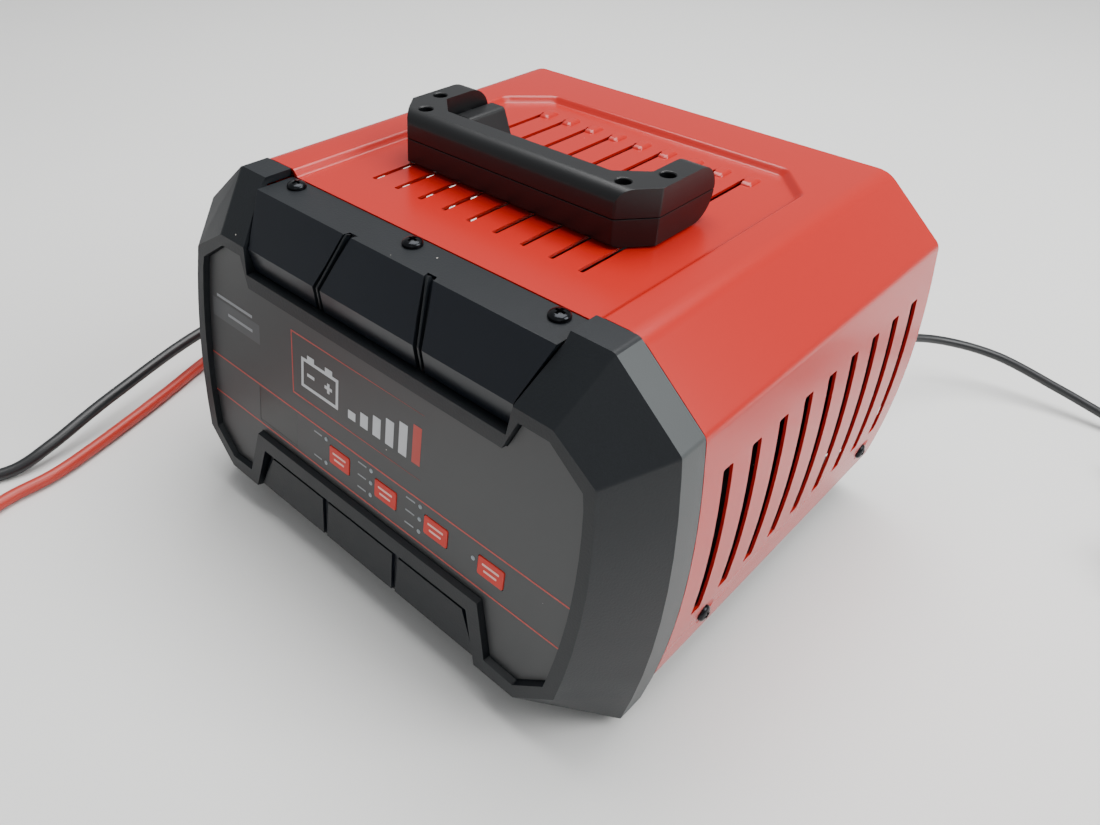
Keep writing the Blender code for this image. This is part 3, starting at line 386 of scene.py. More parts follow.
class Solid:
    """A closed piece built from lofts and Booleans."""

    def __init__(self, name: str, *sets: list[Ring]) -> None:
        """Loft each list of rings into one object.

        Args:
            name: the object's name.
            *sets: each closed form's rings.
        """
        shape = bmesh.new()
        for rings in sets:
            self.loft(shape, rings)
        bmesh.ops.recalc_face_normals(shape, faces=shape.faces[:])
        mesh = bpy.data.meshes.new(name)
        shape.to_mesh(mesh)
        shape.free()
        self.obj = bpy.data.objects.new(name, mesh)
        bpy.context.scene.collection.objects.link(self.obj)

    @staticmethod
    def loft(shape: bmesh.types.BMesh, rings: list[Ring]) -> None:
        """Join rings of equal length and close both ends.

        Args:
            shape: the mesh that grows.
            rings: the rings in order.
        """
        loops = [[shape.verts.new(place(*p)) for p in ring] for ring in rings]
        count = len(loops[0])
        for low, high in zip(loops, loops[1:]):
            for i in range(count):
                j = (i + 1) % count
                shape.faces.new((low[i], low[j], high[j], high[i]))
        shape.faces.new(loops[0][::-1])
        shape.faces.new(loops[-1])

    def baked(self) -> Solid:
        """Turn the modifiers into plain mesh.

        Returns:
            This solid.
        """
        graph = bpy.context.evaluated_depsgraph_get()
        mesh = bpy.data.meshes.new_from_object(self.obj.evaluated_get(graph))
        old, self.obj.data = self.obj.data, mesh
        self.obj.modifiers.clear()
        bpy.data.meshes.remove(old)
        return self

    def combine(self, other: Solid, operation: str) -> Solid:
        """Boolean with another solid, which is used up.

        Args:
            other: the other solid.
            operation: UNION, DIFFERENCE or INTERSECT.

        Returns:
            This solid.
        """
        mod = self.obj.modifiers.new("combine", "BOOLEAN")
        mod.operation, mod.solver, mod.object = operation, "EXACT", other.obj
        self.baked()
        bpy.data.objects.remove(other.obj, do_unlink=True)
        shape = bmesh.new()
        shape.from_mesh(self.obj.data)
        bmesh.ops.remove_doubles(shape, verts=shape.verts[:], dist=2e-6)
        bmesh.ops.dissolve_degenerate(shape, dist=2e-6, edges=shape.edges[:])
        shape.to_mesh(self.obj.data)
        shape.free()
        return self

    def cut(self, *sets: list[Ring]) -> Solid:
        """Cut lofts away; they may not overlap one another."""
        return self.combine(Solid("cutter", *sets), "DIFFERENCE")

    def join(self, *sets: list[Ring]) -> Solid:
        """Weld lofts on, one after another.

        Args:
            *sets: the rings of each addition.

        Returns:
            This solid.
        """
        for rings in sets:
            self.combine(Solid("addition", rings), "UNION")
        return self

    def keep(self, *sets: list[Ring]) -> Solid:
        """Keep only what is inside the lofts."""
        return self.combine(Solid("limit", *sets), "INTERSECT")

    def soften(self, width: float, segments: int = 2, angle: float = 28.0) -> Solid:
        """Round the edges that are sharper than an angle.

        Args:
            width: the rounding's width in millimetres.
            segments: its steps.
            angle: the angle in degrees.

        Returns:
            This solid.
        """
        mod = self.obj.modifiers.new("round", "BEVEL")
        mod.width, mod.segments = width * 0.001, segments
        mod.limit_method, mod.angle_limit = "ANGLE", math.radians(angle)
        mod.use_clamp_overlap = True
        mod.miter_outer = "MITER_ARC"
        return self.baked()

    def finish(self, finish: Finish, body: Body = Body.HOUSING, stands_for: tuple[str, ...] = (),
               sharp: float = 35.0) -> bpy.types.Object:
        """Dress the piece and let it ride.

        Args:
            finish: its surface.
            body: the frame's body that it moves with.
            stands_for: CAD nodes that it replaces.
            sharp: edges above this angle stay crisp.

        Returns:
            The finished object.
        """
        mesh = self.obj.data
        mesh.materials.clear()
        mesh.materials.append(finish.material())
        for face in mesh.polygons:
            face.use_smooth = True
            face.material_index = 0
        mesh.set_sharp_from_angle(angle=math.radians(sharp))
        mod = self.obj.modifiers.new("flats", "WEIGHTED_NORMAL")
        mod.keep_sharp, mod.weight = True, 60
        self.baked()
        return settle(self.obj, body, stands_for)


def settle(obj: bpy.types.Object, body: Body,
           stands_for: tuple[str, ...] = ()) -> bpy.types.Object:
    """Let an object ride on its body and report it.

    Args:
        obj: the object.
        body: the body it moves with.
        stands_for: CAD nodes that it replaces.

    Returns:
        The same object.
    """
    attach(obj, body.value)
    if stands_for:
        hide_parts(*stands_for)
    LOG.info("%s on %s", obj.name, body.value)
    return obj


def dress_node(name: str, finish: Finish) -> None:
    """Give a CAD node that stays its material.

    Args:
        name: the node.
        finish: its surface.
    """
    mesh = frame["nodes"][name].data
    mesh.materials.clear()
    mesh.materials.append(finish.material())
    LOG.info("%s keeps its CAD shape", name)


@dataclass
class Repeater:
    """Geometry Nodes that set one small shape at marked places and turn it to each mark's axis."""

    name: str
    template: bpy.types.Object
    finish: Finish
    places: list[tuple[Vector, Vector]] = field(default_factory=list)
    size: float = 1.0

    def tree(self) -> bpy.types.NodeTree:
        """The node tree, with the shape and its size as named inputs.

        Returns:
            The tree.
        """
        tree = bpy.data.node_groups.new(self.name + "_nodes", "GeometryNodeTree")
        face = tree.interface
        face.new_socket("Geometry", in_out="INPUT", socket_type="NodeSocketGeometry")
        face.new_socket("Shape", in_out="INPUT", socket_type="NodeSocketObject")
        face.new_socket("Size", in_out="INPUT", socket_type="NodeSocketFloat")
        face.new_socket("Geometry", in_out="OUTPUT", socket_type="NodeSocketGeometry")
        given = add(tree, "NodeGroupInput")
        shape = add(tree, "GeometryNodeObjectInfo", None, {"Object": given.outputs["Shape"]})
        axis = add(tree, "GeometryNodeInputNamedAttribute", {"data_type": "FLOAT_VECTOR",
                                                             "Name": "axis"})
        turn = add(tree, "FunctionNodeAlignRotationToVector", {"axis": "Z"},
                   {"Vector": axis.outputs["Attribute"]})
        spots = add(tree, "GeometryNodeInstanceOnPoints", None,
                    {"Points": given.outputs["Geometry"], "Instance": shape.outputs["Geometry"],
                     "Rotation": turn.outputs["Rotation"], "Scale": given.outputs["Size"]})
        solid = add(tree, "GeometryNodeRealizeInstances", None,
                    {"Geometry": spots.outputs["Instances"]})
        dressed = add(tree, "GeometryNodeSetMaterial", {"Material": self.finish.material()},
                      {"Geometry": solid.outputs["Geometry"]})
        add(tree, "NodeGroupOutput", None, {"Geometry": dressed.outputs["Geometry"]})
        return tree

    def build(self, body: Body, stands_for: tuple[str, ...] = (),
              sharp: float = 35.0) -> bpy.types.Object:
        """Place the shapes and turn them into one plain mesh that rides on a body.

        Args:
            body: the frame's body that the shapes move with.
            stands_for: CAD nodes that they replace.
            sharp: edges above this angle stay crisp.

        Returns:
            The finished object.
        """
        marks = bpy.data.meshes.new(self.name)
        marks.from_pydata([tuple(p) for p, _ in self.places], [], [])
        axis = marks.attributes.new("axis", "FLOAT_VECTOR", "POINT")
        for i, (_, direction) in enumerate(self.places):
            axis.data[i].vector = direction
        obj = bpy.data.objects.new(self.name, marks)
        bpy.context.scene.collection.objects.link(obj)
        tree = self.tree()
        mod = obj.modifiers.new("places", "NODES")
        mod.node_group = tree
        for item in tree.interface.items_tree:
            if item.in_out == "INPUT" and item.name == "Shape":
                mod[item.identifier] = self.template
            if item.in_out == "INPUT" and item.name == "Size":
                mod[item.identifier] = self.size
        bpy.context.view_layer.update()
        graph = bpy.context.evaluated_depsgraph_get()
        mesh = bpy.data.meshes.new_from_object(obj.evaluated_get(graph))
        obj.modifiers.clear()
        obj.data = mesh
        for face in mesh.polygons:
            face.use_smooth = True
        mesh.set_sharp_from_angle(angle=math.radians(sharp))
        bpy.data.objects.remove(self.template, do_unlink=True)
        return settle(obj, body, stands_for)


def turned_shape(name: str, profile: list[tuple[float, float]],
                 count: int = 32) -> bpy.types.Object:
    """A shape turned about its own z axis, in metres about the origin.

    Args:
        name: the object's name.
        profile: radius and height pairs in millimetres, from one pole to the other.
        count: sides of the circle.

    Returns:
        An object that a repeater can use up.
    """
    shape = bmesh.new()
    rings = []
    for radius, height in profile:
        if radius == 0.0:
            rings.append([shape.verts.new((0.0, 0.0, height * 0.001))])
        else:
            rings.append([shape.verts.new((x * 0.001, y * 0.001, height * 0.001))
                          for x, y in disc(0.0, 0.0, radius, count)])
    for low, high in zip(rings, rings[1:]):
        for i in range(count):
            j = (i + 1) % count
            corners = [low[i % len(low)], low[j % len(low)], high[j % len(high)],
                       high[i % len(high)]]
            shape.faces.new(list(dict.fromkeys(corners)))
    bmesh.ops.recalc_face_normals(shape, faces=shape.faces[:])
    mesh = bpy.data.meshes.new(name)
    shape.to_mesh(mesh)
    shape.free()
    obj = bpy.data.objects.new(name, mesh)
    bpy.context.scene.collection.objects.link(obj)
    return obj


# ---------------------------------------------------------------- cover


@dataclass
class SheetCover:
    """The folded red cover: a sunk top panel with louvres, and slotted sides."""

    sheet: float = 1.2
    front: float = 13.7
    back: float = 198.0
    drop: float = 143.9
    panel: tuple[tuple[float, float], ...] = ((-81.5, 149.0), (-63.0, 168.0), (68.0, 168.5),
                                              (85.5, 149.0))
    louvre_x: float = -55.0
    louvre_step: float = 14.1
    louvre_y: tuple[float, float] = (36.4, 148.4)
    slot_y: float = 29.5
    slot_step: float = 18.9
    slot_drop: tuple[float, float] = (45.3, 118.0)
    slot_width: float = 6.4
    screw_y: tuple[float, float] = (41.0, 179.0)
    screw_drop: float = 130.0

    def outline(self) -> Flat:
        """Right half of the cover's outer line, from its low edge to the middle of the top.

        Returns:
            The half outline.
        """
        pts = [(side_half(z), z) for z in spread(-self.drop, -33.0, 12)]
        corner = rounded([pts[-1], (128.9, -25.2), (100.0, 0.0), (40.0, 0.0)],
                         [0.0, 6.0, 13.0, 0.0],
                         6, closed=False)
        return pts + corner[1:-1] + [(60.0, 0.0), (0.0, 0.0)]

    def panel_ring(self, shrink: float, z: float) -> Ring:
        """The sunk panel's outline, smaller by a margin, at a height.

        Args:
            shrink: the margin in millimetres.
            z: the height.

        Returns:
            The ring.
        """
        (x0, y0), (x1, y1), (x2, y2), (x3, y3) = self.panel
        s = shrink
        pts = [(x0 + s, self.front - 9.0), (x3 - s, self.front - 9.0), (x3 - s, y3 - s * 0.4),
               (x2 - s * 0.4, y2 - s), (x1 + s * 0.4, y1 - s), (x0 + s, y0 - s * 0.4)]
        return [(x, y, z) for x, y in rounded(pts, [0.0, 0.0, 6.0, 6.0, 6.0, 6.0], 4)]

    def build(self) -> None:
        """Fold, press and punch the cover."""
        outer = self.outline()
        inner = inset(outer, self.sheet)
        inner[-1] = (0.0, -self.sheet)
        ring = mirrored(outer) + mirrored(inner)[::-1]
        cover = Solid("red_cover", along_y(ring, self.front, self.back))
        tub = [[(x, max(y, self.front), z) for x, y, z in self.panel_ring(s, z)]
               for s, z in ((3.0 - self.sheet, -3.0 - self.sheet), (-self.sheet, -0.4))]
        cover.combine(Solid("tub", tub), "UNION")
        steps = ((3.9, -3.0), (3.2, -2.93), (2.5, -2.6), (1.3, -1.2), (0.6, -0.45), (0.0, -0.1),
                 (-0.7, 0.02), (-0.7, 3.0))
        cover.cut([self.panel_ring(s, z) for s, z in steps])
        cover.join(along_x(rect(self.back - 1.6, self.back - 0.4, -8.4, -0.6), -93.0, 93.0))
        for i in range(9):
            cover.join(self.bump(self.louvre_x + self.louvre_step * i + 2.4))
        cover.cut(*[along_z(self.slot(self.louvre_x + self.louvre_step * i, *self.louvre_y, 2.4),
                            -9.0, 3.0) for i in range(9)])
        top, low = self.slot_drop
        cover.cut(*[along_x(self.slot(self.slot_y + self.slot_step * i, -low, -top,
                                      self.slot_width), -140.0, 140.0) for i in range(9)])
        at = side_half(-self.screw_drop)
        for s in (-1, 1):
            cover.cut(*[[[(s * x, a, b) for a, b in disc(y, -self.screw_drop, r, 24)]
                         for x, r in ((at + 0.9, 7.4), (at - 0.75, 4.6))] for y in self.screw_y])
            cover.cut(*[along_x(disc(y, -self.screw_drop, 2.3, 16), s * 120.0, s * 140.0)
                        for y in self.screw_y])
        cover.finish(RED_ENAMEL, stands_for=("cover_shell",), sharp=32.0)

    @staticmethod
    def slot(a: float, b0: float, b1: float, width: float) -> Flat:
        """A punched slot with nearly square ends."""
        return rounded(rect(a - width / 2, a + width / 2, b0, b1), min(0.9, width * 0.3), 3)

    def bump(self, x: float) -> list[Ring]:
        """The pressed blister at the back end of a louvre.

        Args:
            x: its middle across.

        Returns:
            Its rings.
        """
        rings = []
        loop = rounded(rect(-3.3, 3.3, -5.2, 5.2), 1.7, 4)
        for z, r in ((-3.6, 1.0), (-3.0, 1.0), (-2.7, 0.97), (-2.2, 0.86), (-1.75, 0.68),
                     (-1.6, 0.5)):
            rings.append([(x + a * r, self.louvre_y[1] + 1.6 + b * r, z) for a, b in loop])
        return rings


# ---------------------------------------------------------------- front


@dataclass
class FrontMoulding:
    """The black moulded front: band, sloping cheeks, frame, and the recesses in it."""

    band: float = 13.4
    panel_set: float = 2.8
    pocket_set: float = 5.0

    def band_ring(self, y: float, pull: float = 0.0) -> Ring:
        """The band's outline at a depth.

        Args:
            y: the depth.
            pull: how much smaller it is on each side.

        Returns:
            The ring.
        """
        half = [(side_half(z), z) for z in spread(-162.3, -33.0, 9)]
        half += rounded([half[-1], (128.7, -25.0), (100.0, 0.0), (60.0, 0.0)], [0.0, 3.0, 3.0, 0.0],
                        3, closed=False)[1:]
        ring = mirrored(half)
        return [(x * (1 - pull / 128.0), y, -80.0 + (z + 80.0) * (1 - pull / 80.0))
                for x, z in ring]

    def frame_ring(self, off: float, pull: float = 0.0) -> Ring:
        """The front frame's outline on its leaning plane, with as many points as the band's.

        Args:
            off: the depth behind the plane.
            pull: how much smaller it is on each side.

        Returns:
            The ring.
        """
        half = [(93.4, -148.6)]
        half += [(frame_half(z), z) for z in spread(-133.6, -38.0, 8)]
        half += rounded([half[-1], (112.4, -36.2), (93.0, -23.9), (60.0, -23.9)],
                        [0.0, 3.0, 3.0, 0.0], 3, closed=False)[1:]
        ring = mirrored(half)
        return [(x * (1 - pull / 112.0), face_y(z) + off, -88.0 + (z + 88.0) * (1 - pull / 62.0))
                for x, z in ring]

    @staticmethod
    def panel_outline(margin: float) -> Flat:
        """Right half of the control panel's outline, inset by a margin.

        Args:
            margin: the inset in millimetres.

        Returns:
            The half outline.
        """
        m = margin
        half = [(70.9 + m * 0.4, -116.4 + m), (77.9 + m, -141.6 + m), (92.2 - m * 0.2, -142.2 + m),
                (105.4 - m, -131.2 + m * 0.4)]
        half += [(110.7 - 0.0019 * (z + 78.0) ** 2 - m, z) for z in spread(-124.0, -46.0, 9)]
        half += [(107.5 - m, -40.3 - m * 0.5), (92.3 - m * 0.3, -29.3 - m),
                 (79.4 + m * 0.7, -29.3 - m), (73.8 + m * 0.3, -42.6 - m)]
        return half

    def panel_cut(self) -> list[Ring]:
        """The panel's recess, with a little draft on its walls.

        Returns:
            The recess's rings.
        """
        rings = []
        for margin, off in ((-1.4, -6.0), (-0.5, -0.4), (0.0, self.panel_set + 1.7)):
            rings.append([(x, face_y(z) + off, z) for x, z in mirrored(self.panel_outline(margin))])
        return rings

    @staticmethod
    def cheek_space(margin: float) -> Flat:
        """Front outline of the space between the cheeks.

        Args:
            margin: the gap left beside the cheeks.

        Returns:
            The outline.
        """
        m = margin
        return [(74.6 - m, -36.1 + m), (76.3 - m, -22.7), (82.6 - m, -3.4), (82.6 - m, 6.0),
                (-82.6 + m, 6.0), (-82.6 + m, -3.4), (-76.3 + m, -22.7), (-74.6 + m, -36.1 + m)]

    def build(self) -> None:
        """Mould the front and dress it."""
        body = Solid("front_moulding", [self.band_ring(self.band), self.band_ring(0.0),
                                        self.frame_ring(0.0)])
        body.cut([self.band_ring(20.0, 3.2), self.band_ring(0.6, 3.2), self.frame_ring(6.6, 3.2)])
        shelf = [(20.0, 5.0), (20.0, -7.9), (-2.5, -7.9), (-12.6, -25.9), (-11.3, -36.4),
                 (-40.0, -36.4), (-40.0, 5.0)]
        wedge = Solid("wedge", along_y(self.cheek_space(0.0), -45.0, 25.0))
        wedge.combine(Solid("shelf", along_x(shelf, -90.0, 90.0)), "INTERSECT")
        body.combine(wedge, "DIFFERENCE")
        body.cut(self.panel_cut())
        body.cut(leaning(mirrored(self.panel_outline(3.4)), -5.0, 12.0))
        body.cut(leaning([(-65.6, -124.0), (65.6, -124.0), (75.4, -158.0), (-75.4, -158.0)], -5.0,
                         self.pocket_set))
        body.soften(0.8, 2, 24.0)
        obj = body.finish(GRAINED_ABS, stands_for=("front_bezel",), sharp=40.0)
        # The band's outward-facing sides take the paler copy of the ABS: a painted reflection of
        # the bright floor on them.
        obj.data.materials.append(BAND_PAINTED_SHEEN_ABS.material())
        for face in obj.data.polygons:
            spot = face.center * 1000.0
            if spot.y - FRONT_Y > 0.6 and abs(spot.x) > 100.0 and abs(face.normal.x) > 0.6:
                face.material_index = 1


@dataclass
class UpperTrim:
    """The bar across the top of the front, with its three sloping pads."""

    screw_x: tuple[float, ...] = (-71.7, 0.0, 71.7)
    screw_y: float = 8.0

    def build(self) -> None:
        """Shape the bar, cut the grooves between the pads and bead their edges."""
        ring = [(13.4, -7.6), (-2.6, -7.6), (-12.9, -25.6), (-11.6, -36.1)]
        ring += [(-15.8, -35.9), (-17.4, -24.6), (-5.3, -3.4), (13.4, -3.4)]
        bar = Solid("upper_trim_bar", along_x(ring, -90.0, 90.0))
        bar.keep(along_y(FrontMoulding.cheek_space(1.0), -45.0, 25.0))
        for s in (-1, 1):
            bar.cut(self.groove(s, 2.3))
        bar.cut(*[along_z(disc(x, self.screw_y, 2.0, 16), -12.0, 0.0) for x in self.screw_x])
        bar.soften(0.55, 2, 24.0)
        obj = bar.finish(GRAINED_ABS, stands_for=("upper_trim",), sharp=40.0)
        obj.data.materials.append(PAD_AND_GAP_SHADE_ABS.material())
        for face in obj.data.polygons:
            if face.center.z * 1000 - TOP_Z < -3.7 and face.normal.y < -0.25:
                face.material_index = 1
        for s in (-1, 1):
            self.bead(s)

    @staticmethod
    def groove(s: int, w: float) -> list[Ring]:
        """The slot between two pads, which spreads outwards as it goes down.

        Args:
            s: 1 for the right groove, -1 for the left.
            w: half its width.

        Returns:
            Its rings.
        """
        outer = [(-3.6, 0.5, 21.6), (-7.6, -2.4, 23.0), (-20.4, -24.4, 29.0), (-18.6, -40.0, 29.4)]
        inner = [(-2.2, -5.2, 21.8), (-3.3, -6.0, 22.6), (-14.6, -25.2, 29.0), (-13.4, -40.0, 29.4)]
        return [[(s * xo - w, yo, zo), (s * xo + w, yo, zo), (s * xi + w, yi, zi),
                 (s * xi - w, yi, zi)]
                for (yo, zo, xo), (yi, zi, xi) in zip(outer, inner)]

    @staticmethod
    def bead(s: int) -> None:
        """The rib at the bottom of a groove, which stands up at its top end.

        Args:
            s: 1 for the right groove, -1 for the left.
        """
        path = [(-5.4, -2.6, 22.3), (-6.5, -4.6, 23.0), (-16.8, -24.9, 29.0), (-15.4, -35.4, 29.35)]
        rings = []
        for y, z, x in path:
            rings.append([(s * x - 0.55, y - 0.4, z + 0.3), (s * x + 0.55, y - 0.4, z + 0.3),
                          (s * x + 0.55, y + 1.6, z - 0.6), (s * x - 0.55, y + 1.6, z - 0.6)])
        name = "groove_rib_right" if s > 0 else "groove_rib_left"
        Solid(name, rings).soften(0.25, 2, 30.0).finish(GRAINED_ABS)


@dataclass
class LowerTrim:
    """Three pads on one strip in the pocket under the panel."""

    pads: tuple[tuple[float, ...], ...] = ((-62.0, -25.0, -71.0, -24.0), (-21.2, 21.2, -21.8, 21.8),
                                           (25.0, 62.0, 24.0, 71.0))

    def build(self) -> None:
        """Shape the strip and its pads."""
        strip = [(-64.6, -126.9), (64.6, -126.9), (72.0, -146.4), (-72.0, -146.4)]
        bar = Solid("lower_trim_pads", leaning(strip, 3.6, 4.7))
        for x0, x1, x2, x3 in self.pads:
            pad = [(x0, -128.0), (x1, -128.0), (x3, -147.4), (x2, -147.4)]
            low = [(x0 - 0.5, -127.4), (x1 + 0.5, -127.4), (x3 + 0.5, -147.6), (x2 - 0.5, -147.6)]
            bar.join([leaning(pad, 2.0, 4.0)[0], leaning(low, 2.0, 4.0)[1]])
        bar.soften(0.5, 3, 28.0)
        obj = bar.finish(GRAINED_ABS, stands_for=("lower_trim",), sharp=40.0)
        # Everything set deeper than the pads' faces, the strip between them and the pads' sides,
        # takes the darker finish as painted shade in the gaps.
        obj.data.materials.append(PAD_AND_GAP_SHADE_ABS.material())
        for face in obj.data.polygons:
            spot = face.center * 1000.0
            if spot.y - FRONT_Y - face_y(spot.z - TOP_Z) > 2.15:
                face.material_index = 1


@dataclass
class ControlPanel:
    """The printed panel with its window, keys, lights and marks."""

    depth: float = 2.8
    key_x: tuple[float, ...] = (-14.4, 14.9, 44.2, 73.5)
    key_size: tuple[float, float] = (13.6, 9.4)
    key_drop: float = 100.8
    light_drops: tuple[tuple[float, ...], ...] = ((95.0, 107.6), (94.4, 100.7, 107.0),
                                                  (94.4, 100.7, 107.0), (100.2,))
    light_offset: float = -9.2
    window: tuple[float, ...] = (-72.0, -43.8, -110.4, -92.9)
    stripes: tuple[float, float] = (-91.3, -112.3)

    def build(self) -> None:
        """Cut the panel, fill its openings and print it."""
        self.plate()
        self.window_pane()
        self.keys()
        self.lights()
        self.print_marks()

    def plate(self) -> None:
        """The grey panel with its openings."""
        d = self.depth
        plate = Solid("control_panel", leaning(mirrored(FrontMoulding.panel_outline(GAP)), d,
                                               d + 1.4))
        holes = [leaning(rect(*self.window), -3.0, 9.0)]
        w, h = self.key_size
        for x, drops in zip(self.key_x, self.light_drops):
            key = rect(x - w / 2, x + w / 2, -self.key_drop - h / 2, -self.key_drop + h / 2)
            holes.append(leaning(rounded(key, 0.9, 3), -3.0, 9.0))
            holes += [leaning(disc(x + self.light_offset, -p, 1.0, 20), -3.0, 9.0) for p in drops]
        plate.cut(*holes)
        plate.finish(PANEL_GREY, stands_for=("fascia_panel",))

    def window_pane(self) -> None:
        """The smoked display window with its flange behind the panel."""
        x0, x1, z0, z1 = self.window
        d, g = self.depth, 0.08
        pane = Solid("smoked_display", leaning(rect(x0 + g, x1 - g, z0 + g, z1 - g), d + 0.05,
                                               d + 1.8))
        pane.join(leaning(rect(x0 - 1.6, x1 + 1.6, z0 - 1.6, z1 + 1.6), d + 1.7, d + 2.9))
        pane.finish(WINDOW_SMOKE, stands_for=("display_window",))

    def keys(self) -> None:
        """Four soft red keys with two printed dashes each, riding on their own bodies."""
        w, h = self.key_size
        d = self.depth
        for i, x in enumerate(self.key_x):
            z = -self.key_drop
            cap = rounded(rect(x - w / 2 + 0.25, x + w / 2 - 0.25, z - h / 2 + 0.25,
                               z + h / 2 - 0.25),
                          0.9, 3)
            key = Solid("key_cap_%d" % (i + 1), leaning(cap, d - 0.4, d + 2.3))
            key.soften(0.3, 3, 50.0)
            flange = rect(x - w / 2 - 0.9, x + w / 2 + 0.9, z - h / 2 - 0.9, z + h / 2 + 0.9)
            key.join(leaning(flange, d + 1.7, d + 3.1),
                     leaning(disc(x, z, 1.6, 20), d + 2.7, d + 6.5))
            obj = key.obj
            self.ride_key(key, i, KEY_RED, ("button_%d" % (i + 1),))
            for k, (half, up) in enumerate(((4.3, 1.5), (3.3, -1.3))):
                dash = rounded(rect(x - half, x + half, z + up - 0.5, z + up + 0.5), 0.3, 2)
                mark = Solid("key_mark_%d_%d" % (i + 1, k + 1), leaning(dash, d - 0.44, d - 0.3))
                self.ride_key(mark, i, KEY_INK, ())
            LOG.info("%s travels with key_%d", obj.name, i + 1)

    @staticmethod
    def ride_key(piece: Solid, index: int, finish: Finish, stands_for: tuple[str, ...]) -> None:
        """Dress a key's piece and let it travel with its key.

        Args:
            piece: the piece.
            index: the key's number, from zero.
            finish: its surface.
            stands_for: CAD nodes that it replaces.
        """
        piece.finish(finish, Body.HOUSING, stands_for)
        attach(piece.obj, "key_%d" % (index + 1))

    def lights(self) -> None:
        """The frosted ends of the light guides, one small dome for each light."""
        dome = turned_shape("dome", [(0.0, -2.0), (0.92, -2.0), (0.92, 0.0), (0.75, 0.25),
                                     (0.4, 0.4), (0.0, 0.45)], 20)
        places = []
        for x, drops in zip(self.key_x, self.light_drops):
            for p in drops:
                at = place(x + self.light_offset, face_y(-p) + self.depth, -p)
                places.append((at, Vector((0.0, -1.0, 0.0))))
        Repeater("indicator_domes", dome, LIGHT_GUIDE, places).build(Body.HOUSING)
        for i in range(4):
            dress_node("led_guide_%d" % (i + 1), LIGHT_GUIDE)

    def decal(self, name: str, shapes: list[Flat], finish: Finish, lift: float = 0.05) -> None:
        """Thin printed shapes on the panel's face, as one piece."""
        d = self.depth
        Solid(name, *[leaning(s, d - lift, d + 0.03) for s in shapes]).finish(finish)

    def print_marks(self) -> None:
        """Print the stripes, the boxed battery sign, the light labels and the side label."""
        top, low = self.stripes
        x0, x1, z0, z1 = self.window
        band = [rect(-109.9, x0, low, top), rect(x1, 109.4, low, top),
                rect(x0, x1, low, z0), rect(x0, x1, z1, top)]
        self.band([s for s in band if s[2][0] - s[0][0] > 1.0 and s[2][1] - s[0][1] > 0.3])
        self.decal("printed_stripes", [rect(-110.0, 109.6, top - 0.32, top + 0.32),
                                       rect(-108.6, 108.2, low - 0.32, low + 0.32)], INK_RED, 0.07)
        self.fading_box()
        self.battery_sign()
        self.label()

    def band(self, parts: list[Flat]) -> None:
        """The paler band between the stripes, with the keys' and lights' openings left out.

        Args:
            parts: the rectangles that make it up.
        """
        d = self.depth
        piece = Solid("printed_band", *[leaning(p, d - 0.03, d + 0.03) for p in parts])
        holes = []
        w, h = self.key_size
        for x, drops in zip(self.key_x, self.light_drops):
            key = rect(x - w / 2, x + w / 2, -self.key_drop - h / 2, -self.key_drop + h / 2)
            holes.append(leaning(rounded(key, 0.9, 3), -3.0, 9.0))
            holes += [leaning(disc(x + self.light_offset, -p, 1.0, 16), -3.0, 9.0) for p in drops]
        piece.cut(*holes)
        piece.finish(PANEL_BAND)

    def fading_box(self) -> None:
        """The red box that opens to the right: its lines thin out to nothing."""
        top, low, left = -52.0, -82.2, -47.3
        end = 34.0
        up = [(left, top - 0.32), (end, top - 0.02), (end, top + 0.02), (left, top + 0.32)]
        down = [(left + 1.0, low - 0.32), (end, low - 0.02), (end, low + 0.02),
                (left + 1.0, low + 0.32)]
        side = [(left - 0.3, top + 0.32), (left + 0.7, low - 0.32), (left + 1.3, low - 0.32),
                (left + 0.3, top + 0.32)]
        self.decal("printed_box", [up, down], INK_RED)
        self.decal("printed_box_side", [side], INK_RED, 0.06)

    def battery_sign(self) -> None:
        """A plain battery sign with its poles, and a row of charge bars beside it."""
        z0, z1 = -76.0, -61.5
        x0, x1 = -40.5, -16.0
        t = 1.5
        walls = [rect(x0, x1, z1 - t, z1), rect(x0, x1, z0, z0 + t),
                 rect(x0, x0 + t, z0 + t, z1 - t),
                 rect(x1 - t, x1, z0 + t, z1 - t), rect(x0 + 4.0, x0 + 8.6, z1, z1 + 2.2),
                 rect(x1 - 8.6, x1 - 4.0, z1, z1 + 2.2)]
        minus = [rect(x0 + 4.0, x0 + 8.8, -69.5, -68.0)]
        plus = [rect(x1 - 8.8, x1 - 4.0, -69.5, -68.0), rect(x1 - 7.15, x1 - 5.65, -71.15, -69.5),
                rect(x1 - 7.15, x1 - 5.65, -68.0, -66.35)]
        bars = [rect(-9.5 + 7.6 * i, -4.9 + 7.6 * i, z0, z0 + 4.0 + 2.7 * i) for i in range(5)]
        self.decal("printed_battery_sign", walls + minus + plus + bars, INK_PALE)
        self.decal("printed_last_bar", [rect(28.5, 33.1, z0, z0 + 17.6)], INK_RED)

    def label(self) -> None:
        """The pale side label and the short dashes that name the lights."""
        self.decal("printed_side_label", [rect(-107.2, -70.6, -70.1, -60.3)], PANEL_LABEL, 0.03)
        self.decal("printed_label_dashes", [rect(-103.5, -76.0, -59.0, -57.6),
                                            rect(-95.0, -76.0, -66.2, -64.8)], INK_DIM, 0.06)
        dashes = []
        for x, drops in zip(self.key_x, self.light_drops):
            for p in drops[:3] if len(drops) > 1 else ():
                a = x + self.light_offset - 3.0
                dashes.append(rect(a - 5.2, a, -p - 0.35, -p + 0.35))
        self.decal("printed_light_dashes", dashes, INK_DIM, 0.06)


# ---------------------------------------------------------------- handle


